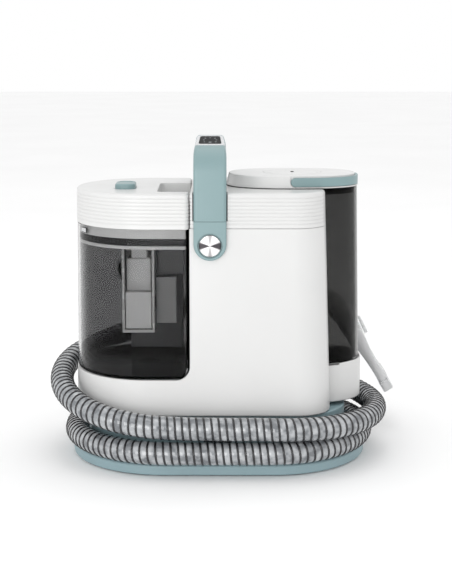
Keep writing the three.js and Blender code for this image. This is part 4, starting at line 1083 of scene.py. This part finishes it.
def make_handle_foot(side, name, node):
    """The round end of a leg: a recess for the disc at the front, and a ring round a boss at the back."""
    foot = Box(node)
    half = (ARCH.x1 - ARCH.x0) / 2
    centre = foot.z0 + half
    above = foot.z1 + 6
    outline = ([(ARCH.x0, above), (ARCH.x0, centre)] + arc(ARCH.x, centre, half, 180, 32, 180)[1:]
               + [(ARCH.x1, above)])
    inner, outer = sorted((abs(foot.y0), abs(foot.y1)))
    rim = rounded_stations(inner + 1, outer, 1.6)[5:]
    stations = [(side * inner, 0)] + [(side * depth, inset) for depth, inset in rim]
    hub = pillow(name, outline, stations, lambda u, v, depth: (u, depth, v))
    cut(hub, block("above", -FAR, FAR, -FAR, FAR, foot.z1, FAR))
    y0, y1 = sorted((side * (outer - 2.0), side * (outer + 5)))
    recess = rod(ARCH.x, y0, y1, DISC.z, DISC_RECESS, count=64)
    if side > 0:
        cut(recess, rod(ARCH.x, y0 - 1, y1 + 1, DISC.z, REAR_BOSS, count=64))
    cut(hub, recess)
    dress(hub, MACHINE, TEAL, "teal_shell", [node], bevel=0.35, sharp=50)


def make_disc():
    """A turned disc: fine rings about a shallow cone, with a raised rim."""
    depth, radius = DISC.y1 - DISC.y0, (DISC.x1 - DISC.x0) / 2
    profile = [(0, 0), (radius, 0), (radius, depth - 0.5), (radius - 0.4, depth), (radius - 0.9, depth)]
    for i in range(DISC_RINGS):
        r = (radius - 1.1) * (1 - i / DISC_RINGS)
        height = depth - 0.55 + 0.45 * (i / DISC_RINGS)
        profile += [(r, height), (r - 0.25, height + 0.035)]
    profile += [(0, depth - 0.08)]
    disc = lathe("hub_disc", profile, (DISC.x, DISC.y1, DISC.z), "Y", 96)
    dress(disc, MACHINE, SPUN, "steel", ["handle_disc"], sharp=40)


# ---------- dirty tank and its lid ----------
def make_dirty_tank():
    """The smoked tank, open at its top, with a hole for each port."""
    outer = sweep("smoked_tank", tank_ring,
                  round_in(TANK.z0, 0, 2.5, False) + [(150, 0), (200, 0)] + round_in(TANK.z1, 0, 0.6, True))
    common(outer, window_prism(TANK.x1, TANK.z0, WINDOW_RADIUS))
    floor = TANK.z0 + TANK_WALL
    inner = sweep("room", tank_ring, [
        (floor, TANK_WALL + 1.5), (floor + 1.5, TANK_WALL), (TANK.z1 + 1, TANK_WALL)])
    common(inner, window_prism(TANK.x1 - TANK_WALL, floor, WINDOW_RADIUS - TANK_WALL))
    cut(outer, inner)
    for node in ("inlet_seal", "outlet_seal"):
        seal = Box(node)
        cut(outer, rod(seal.y, -50, -30, seal.z, (seal.z1 - seal.z0) / 2 - 4, "X"))
    dress(outer, DIRTY_TANK, SMOKED, "smoked_tank", ["dirty_tank"], bevel=0.5, sharp=50)


def button_ring(z, inset):
    """The button's outline, inside the flange round its foot."""
    edge = BUTTON_FLANGE + inset
    radius = BUTTON_CORNER - inset
    return level(box_outline(BUTTON.x0 + edge, BUTTON.x1 - edge, BUTTON.y0 + edge, BUTTON.y1 - edge,
                             radius, radius, 10), z)


def recess_ring(z, inset):
    """The finger recess in the lid, open towards the tower."""
    x0, y0, y1 = FINGER_RECESS
    return level(box_outline(x0 + inset, 0, y0 + inset, y1 - inset, 5, 1, 8), z)


def make_button():
    flange = [(BUTTON.z0, -BUTTON_FLANGE), (BUTTON.z0 + 3, -BUTTON_FLANGE), (BUTTON.z0 + 3, 0)]
    button = sweep("lid_release", button_ring, flange + round_in(BUTTON.z1, 0, 2.2, True))
    cut(button, sweep("dish", button_ring, [(BUTTON.z1 - 0.5, 4), (BUTTON.z1 + 2, 2.6)]))
    dress(button, "lid_button", TEAL, "teal_shell", ["lid_button"], bevel=0.25, sharp=50)


def lid_ring(z, inset):
    return tank_ring(z, inset - LID_OVERHANG)


def make_lid():
    """The ribbed lid with its recess, its button, and the skirt and seal under it."""
    profile = ([(LID_CEILING, WALL), (LID.z0, WALL), (LID.z0, 0.5), (LID.z0 + 0.5, 0)]
               + ribs(LID.z0 + 3, LID.z1 - 3) + round_in(LID.z1, 0, 2.6, True))
    lid = sweep("tank_lid", lid_ring, profile)
    recess = sweep("recess", recess_ring, [(RECESS_FLOOR, 1.2), (RECESS_FLOOR + 1.2, 0), (ARCH_CLEAR, -1)])
    cut(lid, recess, sweep("hole", button_ring, [(LID.z1 - 10, -GAP), (ARCH_CLEAR, -GAP)]))
    dress(lid, DIRTY_LID, WHITE, "white_shell", ["lid_cover"], bevel=0.5, sharp=60)
    make_button()
    for name, node, inset, wall, material, slot in (
            ("inner_skirt", "lid_skirt", 3, 3, PALE_GREY, "light_grey"),
            ("lid_seal", "lid_gasket", 2.8, 5, RUBBER, "rubber")):
        band = Box(node)
        piece = sweep(name, tank_ring, [(band.z0, inset), (band.z1, inset), (band.z1, inset + wall),
                                        (band.z0, inset + wall)], closed=True)
        dress(piece, DIRTY_LID, material, slot, [node], bevel=0.5, sharp=50)


def coil(name, node, wire, turns, body):
    """A real coil in place of a spring's sleeve."""
    spring = Box(node)
    radius = (spring.x1 - spring.x0) / 2 - wire
    line = [Vector((spring.x, spring.y, spring.z0 + wire + (spring.z1 - spring.z0 - 2 * wire) * i / 40))
            for i in range(41)]
    pitch = (spring.z1 - spring.z0 - 2 * wire) / turns
    piece = helix(name, line, pitch, radius, wire, 24, 8)
    dress(piece, body, STEEL, "steel", [node], sharp=80)
    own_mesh(piece)


def make_badge():
    """A small blank plate under the lid."""
    plate = Box("data_plate")
    angle = math.radians(BADGE_DIRECTION)
    out = Vector((math.cos(angle), math.sin(angle)))
    along = Vector((-out.y, out.x))

    def place(u, v, depth):
        spot = Vector((plate.x, plate.y)) + along * u + out * depth
        return (spot.x, spot.y, plate.z + v)

    outline = box_outline(-BADGE_HALF_WIDTH, BADGE_HALF_WIDTH, -BADGE_HALF_HEIGHT, BADGE_HALF_HEIGHT,
                          0.8, 0.8, 4)
    border = pillow("plate_border", outline, [(-0.5, 0), (0.2, 0), (0.35, 0.2)], place)
    dress(border, DIRTY_TANK, DARK_GREY, "silver", ["data_plate"])
    face = pillow("blank_plate", offset(outline, 0.8), [(0.3, 0), (0.45, 0), (0.55, 0.15)], place)
    dress(face, DIRTY_TANK, SILVER, "silver")


# ---------- clean tank and its lid ----------
def oval_inset(z, inset):
    return oval_ring(z, -inset)


def lid_oval(z, inset):
    return oval_ring(z, -inset, oval_reach(OVAL.z1))


def make_clean_tank():
    """The dark tank, open at its top, with a hole for the valve in its floor."""
    profile = (round_in(OVAL.z0, 0, 3, False) + [(180, 0), (250, 0)] + round_in(OVAL.z1, 0, 0.6, True)
               + [(OVAL.z1, TANK_WALL), (250, TANK_WALL), (180, TANK_WALL), (OVAL.z0 + 4.5, TANK_WALL),
                  (OVAL.z0 + 3, TANK_WALL + 1.5)])
    tank = sweep("clear_water_tank", oval_inset, profile)
    cut(tank, lathe("valve_hole", [(0, 100), (4, 100), (4, 120), (0, 120)], (OVAL_X, OVAL_Y, 0), count=24))
    dress(tank, CLEAN_TANK, DARK_SMOKED, "dark_smoked_tank", ["clean_tank"], sharp=50)


def bail_region(grow):
    """The part of the lid's side that the bail takes up: to the right of its pins, and round them."""
    side = block("side", BAIL.x0 + 5, 200, -100, 100, BAIL.z - 5 - grow, BAIL.z + 5 + grow)
    return join(side, rod(BAIL.x0 + 5, -100, 100, BAIL.z, 5 + grow, count=48))


def bail_band(inner, outer):
    """A band round the lid, between two distances from its outline."""
    band = sweep("band", lid_oval, [(300, -outer), (360, -outer)])
    return cut(band, sweep("inside", lid_oval, [(299, -inner), (361, -inner)]))


def bail_pins(radius, reach):
    """The pins that the bail turns on, one at the front and one at the back."""
    pins = []
    for side in (-1, 1):
        y0, y1 = sorted(OVAL_Y + side * (OVAL_HALF_DEPTH - depth) for depth in (7 + reach, 1))
        pins.append(rod(BAIL.x0 + 5, y0, y1, BAIL.z, radius, count=20))
    return pins


def make_fill_cap():
    """The disc let into the clean lid, with a rim, and the dark plug of the vent in its middle."""
    z0, z1 = FILL_CAP.z0, FILL_CAP.z1
    middle = (OVAL_X, OVAL_Y, 0)
    rim = [(CAP_RADIUS, z0), (CAP_RADIUS, z1 - 0.5), (CAP_RADIUS - 0.6, z1), (31, z1), (30.5, z1 - 0.35),
           (30, z1 - 0.35), (29.5, z1)]
    mouth = [(3.4, z1), (1.9, z1 - 0.4), (1.7, z1 - 0.9)]
    cap = lathe("fill_disc", [(1.7, z0)] + rim + mouth, middle, count=96)
    dress(cap, CLEAN_LID, WHITE, "white_shell", ["fill_cap"])
    plug = lathe("vent_plug", [(0, z1 - 1), (VENT_RADIUS, z1 - 1), (VENT_RADIUS, z1 + 0.1), (2, z1 + 0.1),
                               (2, z1 + 0.4), (1.6, z1 + 0.7), (0, z1 + 0.7)], middle, count=24)
    dress(plug, CLEAN_LID, DARK_GREY, "rubber")


def make_clean_lid():
    """The lid with a channel for its bail, a recess for the cap and a vent, then the bail itself."""
    z0, z1 = OVAL_LID.z0, OVAL_LID.z1
    middle = (OVAL_X, OVAL_Y, 0)
    profile = [(z1 - 5, 12), (z0, 12), (z0, -0.5), (z0 + 0.5, -1), (z0 + 2.5, -1), (z0 + 3.1, -0.4)]
    lid = sweep("clean_tank_lid", lid_oval, profile + round_in(z1, 1.4, 2.2, True))
    above = block("above", BAIL.x0 - 0.5, FAR, -FAR, FAR, BAIL.z, FAR)
    channel = common(bail_band(-2.8, 6), join(bail_region(0.5), above))
    room = CAP_RADIUS + GAP
    recess = lathe("recess", [(0, z1 - 2), (room, z1 - 2), (room, FAR), (0, FAR)], middle)
    vent = lathe("vent", [(0, 0), (VENT_RADIUS, 0), (VENT_RADIUS, FAR), (0, FAR)], middle, count=16)
    cut(lid, channel, recess, vent, *bail_pins(2.3, 0.5))
    dress(lid, CLEAN_LID, WHITE, "white_shell", ["clean_lid"], bevel=0.4, sharp=50)
    make_fill_cap()
    bail = common(bail_band(-2.4, 1), bail_region(0))
    join(bail, *bail_pins(2, 0))
    bail.name = "lift_bail"
    dress(bail, "bail_handle", TEAL, "teal_shell", ["bail"], bevel=0.7, sharp=50)


# ---------- hose end and hand tool ----------
NECK_X = GRIP_BEND_X + GRIP_BEND_RADIUS * math.sin(NECK_LEAN)
NECK_Z = GRIP_BEND_Z + GRIP_BEND_RADIUS * math.cos(NECK_LEAN)


def grip_line():
    """The grip's middle line, from the hose to the bend that the nozzle hangs from."""
    knots = list(GRIP_KNOTS)
    for angle in GRIP_ANGLES:
        knots.append((GRIP_BEND_X + GRIP_BEND_RADIUS * math.sin(angle), TOOL_Y,
                      GRIP_BEND_Z + GRIP_BEND_RADIUS * math.cos(angle)))
    return curve_points(knots, 2)


def make_grip():
    """A grip with a slight waist, the hook that hangs on the dock, and the slot for the trigger."""
    line = grip_line()
    long = distances(line)[-1]

    def handgrip(reach, angle):
        return GRIP_RADIUS - GRIP_WAIST * math.sin(math.pi * min(reach / long * 1.15, 1)) ** 2

    grip = tube("hand_grip", line, handgrip, 40)
    dock = Box("tool_dock")
    x0, x1 = dock.x - HOOK_HALF, dock.x + HOOK_HALF
    join(grip, block("hook", x0, x1, HOOK_FRONT, HOOK_BACK, HOOK_STEP, HOOK_TOP),
         block("tongue", x0, x1, HOOK_FRONT, TONGUE_BACK, TONGUE_BOTTOM, HOOK_STEP + 1))
    trigger = Box("tool_trigger")
    cut(grip, block("slot", trigger.x0 - 2, trigger.x1 + 2, trigger.y0 - 1, trigger.y1 + 1,
                    0, trigger.z1 + 5))
    dress(grip, MACHINE, WHITE, "white_shell", ["tool_grip"], bevel=0.8, sharp=50)
    outline = box_outline(trigger.x0, trigger.x1, trigger.z0 - 3, trigger.z1, 4.4, 2, 6)
    lever = pillow("trigger_lever", outline, rounded_stations(trigger.y0, trigger.y1, 1.6),
                   lambda u, v, depth: (u, depth, v))
    dress(lever, "trigger", TEAL, "teal_shell", ["tool_trigger"])


def make_cuff():
    """The grooved rubber ring between the hose and the grip."""
    cuff = Box("tool_cuff")
    radius = (cuff.y1 - cuff.y0) / 2
    profile = [(CUFF_BORE, cuff.x0), (radius - 1, cuff.x0), (radius, cuff.x0 + 1)]
    for i in range(3):
        x = cuff.x0 + 3 + i * 3.4
        profile += [(radius, x), (radius - 0.9, x + 0.4), (radius - 0.9, x + 1.2), (radius, x + 1.6)]
    profile += [(radius, cuff.x1 - 1), (radius - 1, cuff.x1), (CUFF_BORE, cuff.x1)]
    ring = lathe("hose_cuff", profile, (0, TOOL_Y, cuff.z), "X", 48)
    dress(ring, MACHINE, RUBBER, "rubber", ["tool_cuff"])
    return ring


def make_elbow():
    """The bend from the port in the waist to the hose, with a ringed collar at its end."""
    line = curve_points(ELBOW_KNOTS, 1.5)
    end = distances(line)[-1]

    def radius(reach, angle):
        left = end - reach
        ringed = 3 < left < 6 or 9 < left < 12
        return (COLLAR_RADIUS if 1.5 < left < 16 else ELBOW_RADIUS) + (0.6 if ringed else 0)

    elbow = tube("hose_bend", line, radius, 40)
    dress(elbow, MACHINE, DARK_GREY, "dark_grey", ["hose_elbow"], bevel=0.3, sharp=40)


def nozzle_place(x, y, z):
    """Puts a point of the nozzle in space; z runs along its own axis, from the neck."""
    lean = NECK_LEAN - math.pi / 2
    return (NECK_X + x * math.cos(lean) + z * math.sin(lean), TOOL_Y + y,
            NECK_Z - x * math.sin(lean) + z * math.cos(lean))


def nozzle_loft(name, rings):
    """A skin over rings drawn in the nozzle's own frame."""
    return loft(name, [[nozzle_place(x, y, z) for x, y in outline] for z, outline in rings])


def nozzle_skin(name, grow, extra):
    """The fan from its round neck to its flat mouth, along its own axis."""
    rings = []
    for i in range(25):
        share = i / 24
        along = -1.5 - extra - (NOZZLE_LENGTH - 1.5 - 2 * extra) * share
        thick = NOZZLE_NECK + (NOZZLE_THICKNESS - NOZZLE_NECK) * smootherstep(share, -0.1, 0.9) + grow
        wide = NOZZLE_NECK + (NOZZLE_WIDTH - NOZZLE_NECK) * smootherstep(share, -0.15, 1.15) + grow
        corner = thick - 0.3 if share < 0.3 else max(thick - 0.3, 2)
        rings.append((along, box_outline(-thick, thick, -wide, wide, corner, corner, 8)))
    return nozzle_loft(name, rings)


def make_nozzle():
    """The hollow fan, the slit edge at its mouth and the spray pipe on its back."""
    fan = nozzle_skin("nozzle_fan", 0, 0)
    cut(fan, nozzle_skin("room", -1.9, -1.5))
    dress(fan, MACHINE, CLEAR, "clear_plastic", ["nozzle"], bevel=0.3, sharp=50)
    outline = box_outline(-LIP_THICKNESS, LIP_THICKNESS, -LIP_WIDTH, LIP_WIDTH, 2.5, 2.5, 5)
    end = -NOZZLE_LENGTH - LIP_DEPTH
    stations = ((end, 1.2), (end + 1.2, 0), (-NOZZLE_LENGTH - 1.5, 0), (-NOZZLE_LENGTH - GAP, 1.2))
    lip = nozzle_loft("nozzle_edge", [(z, offset(outline, inset)) for z, inset in stations])
    slit = box_outline(-3, 3, WALL - LIP_WIDTH, LIP_WIDTH - WALL, 2, 2, 4)
    cut(lip, nozzle_loft("slit", [(end - 6, slit), (-80, slit)]))
    dress(lip, MACHINE, CLEAR, "clear_plastic", ["nozzle_lip"], bevel=0.3, sharp=50)
    line = [Vector(nozzle_place(15.6 - 2.6 * i / 12, 0, -13 - 24 * i / 12)) for i in range(13)]
    tip = tube("spray_pipe", line, lambda reach, angle: 2.2 if reach > 8 else 1.8, 20)
    dress(tip, MACHINE, CLEAR, "clear_plastic", ["spray_tip"], bevel=0.2)


# ---------- pieces that stay as the model has them ----------
KEPT = {
    "tank_bay": (PALE_GREY, 0.6), "tank_deck": (DARK_GREY, 0.5), "motor": (STEEL, 0.8),
    "fan_housing": (DARK_GREY, 0.8), "fan": (LIGHT_GREY, 0.3), "inlet_duct": (DARK_GREY, 0.8),
    "air_duct": (DARK_GREY, 0.8), "inlet_seal": (RUBBER, 0.6), "outlet_seal": (RUBBER, 0.6),
    "pump": (DARK_GREY, 0.8), "valve_seat": (RUBBER, 0.6), "control_board": (BOARD, 0.2),
    "exhaust_grille": (DARK_GREY, 0.5), "cord_gland": (RUBBER, 0.6), "tool_dock": (WHITE, 0.9),
    "separator": (DARK_GREY, 1.5), "lid_floor": (PALE_GREY, 0.6), "float_cage": (CAGE_CLEAR, 0.5),
    "float": (LIGHT_GREY, 1.6), "intake_box": (DARK_GREY, 1.0), "deflector": (MID_GREY, 0.6),
    "clean_gasket": (RUBBER, 0.6), "valve_body": (LIGHT_GREY, 0.5), "valve_poppet": (DARK_GREY, 0.4),
}


def dress_kept():
    """Gives the pieces that stay their material and rounded edges."""
    for node, (material, bevel) in KEPT.items():
        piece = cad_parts[node]
        piece.data.materials.clear()
        piece.data.materials.append(material)
        soften(piece, bevel)


# ---------- room ----------
def make_floor():
    material, nodes, links, bsdf = shader("floor")
    shade = tint(nodes, links, noise(nodes, links, 2), (0.93, 0.93, 0.93), (0.95, 0.95, 0.95))
    links.new(shade, bsdf.inputs["Base Color"])
    bsdf.inputs["Roughness"].default_value = 0.9
    bpy.ops.mesh.primitive_plane_add(size=24)
    floor = bpy.context.object
    floor.name = "floor"
    floor.data.materials.append(material)


def make_lamp(name, place, size, power):
    """A square lamp that faces the middle of the machine."""
    data = bpy.data.lights.new(name, "AREA")
    data.size = size
    data.energy = power
    lamp = bpy.data.objects.new(name, data)
    lamp.location = place
    lamp.rotation_mode = "QUATERNION"
    lamp.rotation_quaternion = (Vector(place) - Vector((0, 0, 0.15))).to_track_quat("Z", "Y")
    SCENE.collection.objects.link(lamp)


def make_stage():
    """A pale floor in an evenly lit white room, with the two lamps."""
    make_floor()
    world = bpy.data.worlds.new("room")
    world.use_nodes = True
    sky = world.node_tree.nodes["Background"]
    sky.inputs["Color"].default_value = (1, 1, 1, 1)
    sky.inputs["Strength"].default_value = 1.0
    SCENE.world = world
    SCENE.view_settings.view_transform = "Standard"
    for lamp in LAMPS:
        make_lamp(*lamp)


make_camera()
hose, hose_rib, hose_line = make_hose()
make_base()
make_shells()
make_cover()
make_cradle()
make_handle()
make_display()
make_handle_foot(-1, "handle_hub_front", "handle_foot_front")
make_handle_foot(1, "handle_hub_rear", "handle_foot_rear")
make_disc()
make_dirty_tank()
make_lid()
make_badge()
make_clean_tank()
make_clean_lid()
coil("button_coil", "button_spring", 0.7, 5, DIRTY_LID)
coil("valve_coil", "valve_spring", 0.6, 4, CLEAN_TANK)
make_grip()
hose_cuff = make_cuff()
make_elbow()
make_nozzle()
dress_kept()
make_stage()
[tuple(value * MM for value in point) for point in hose_line]
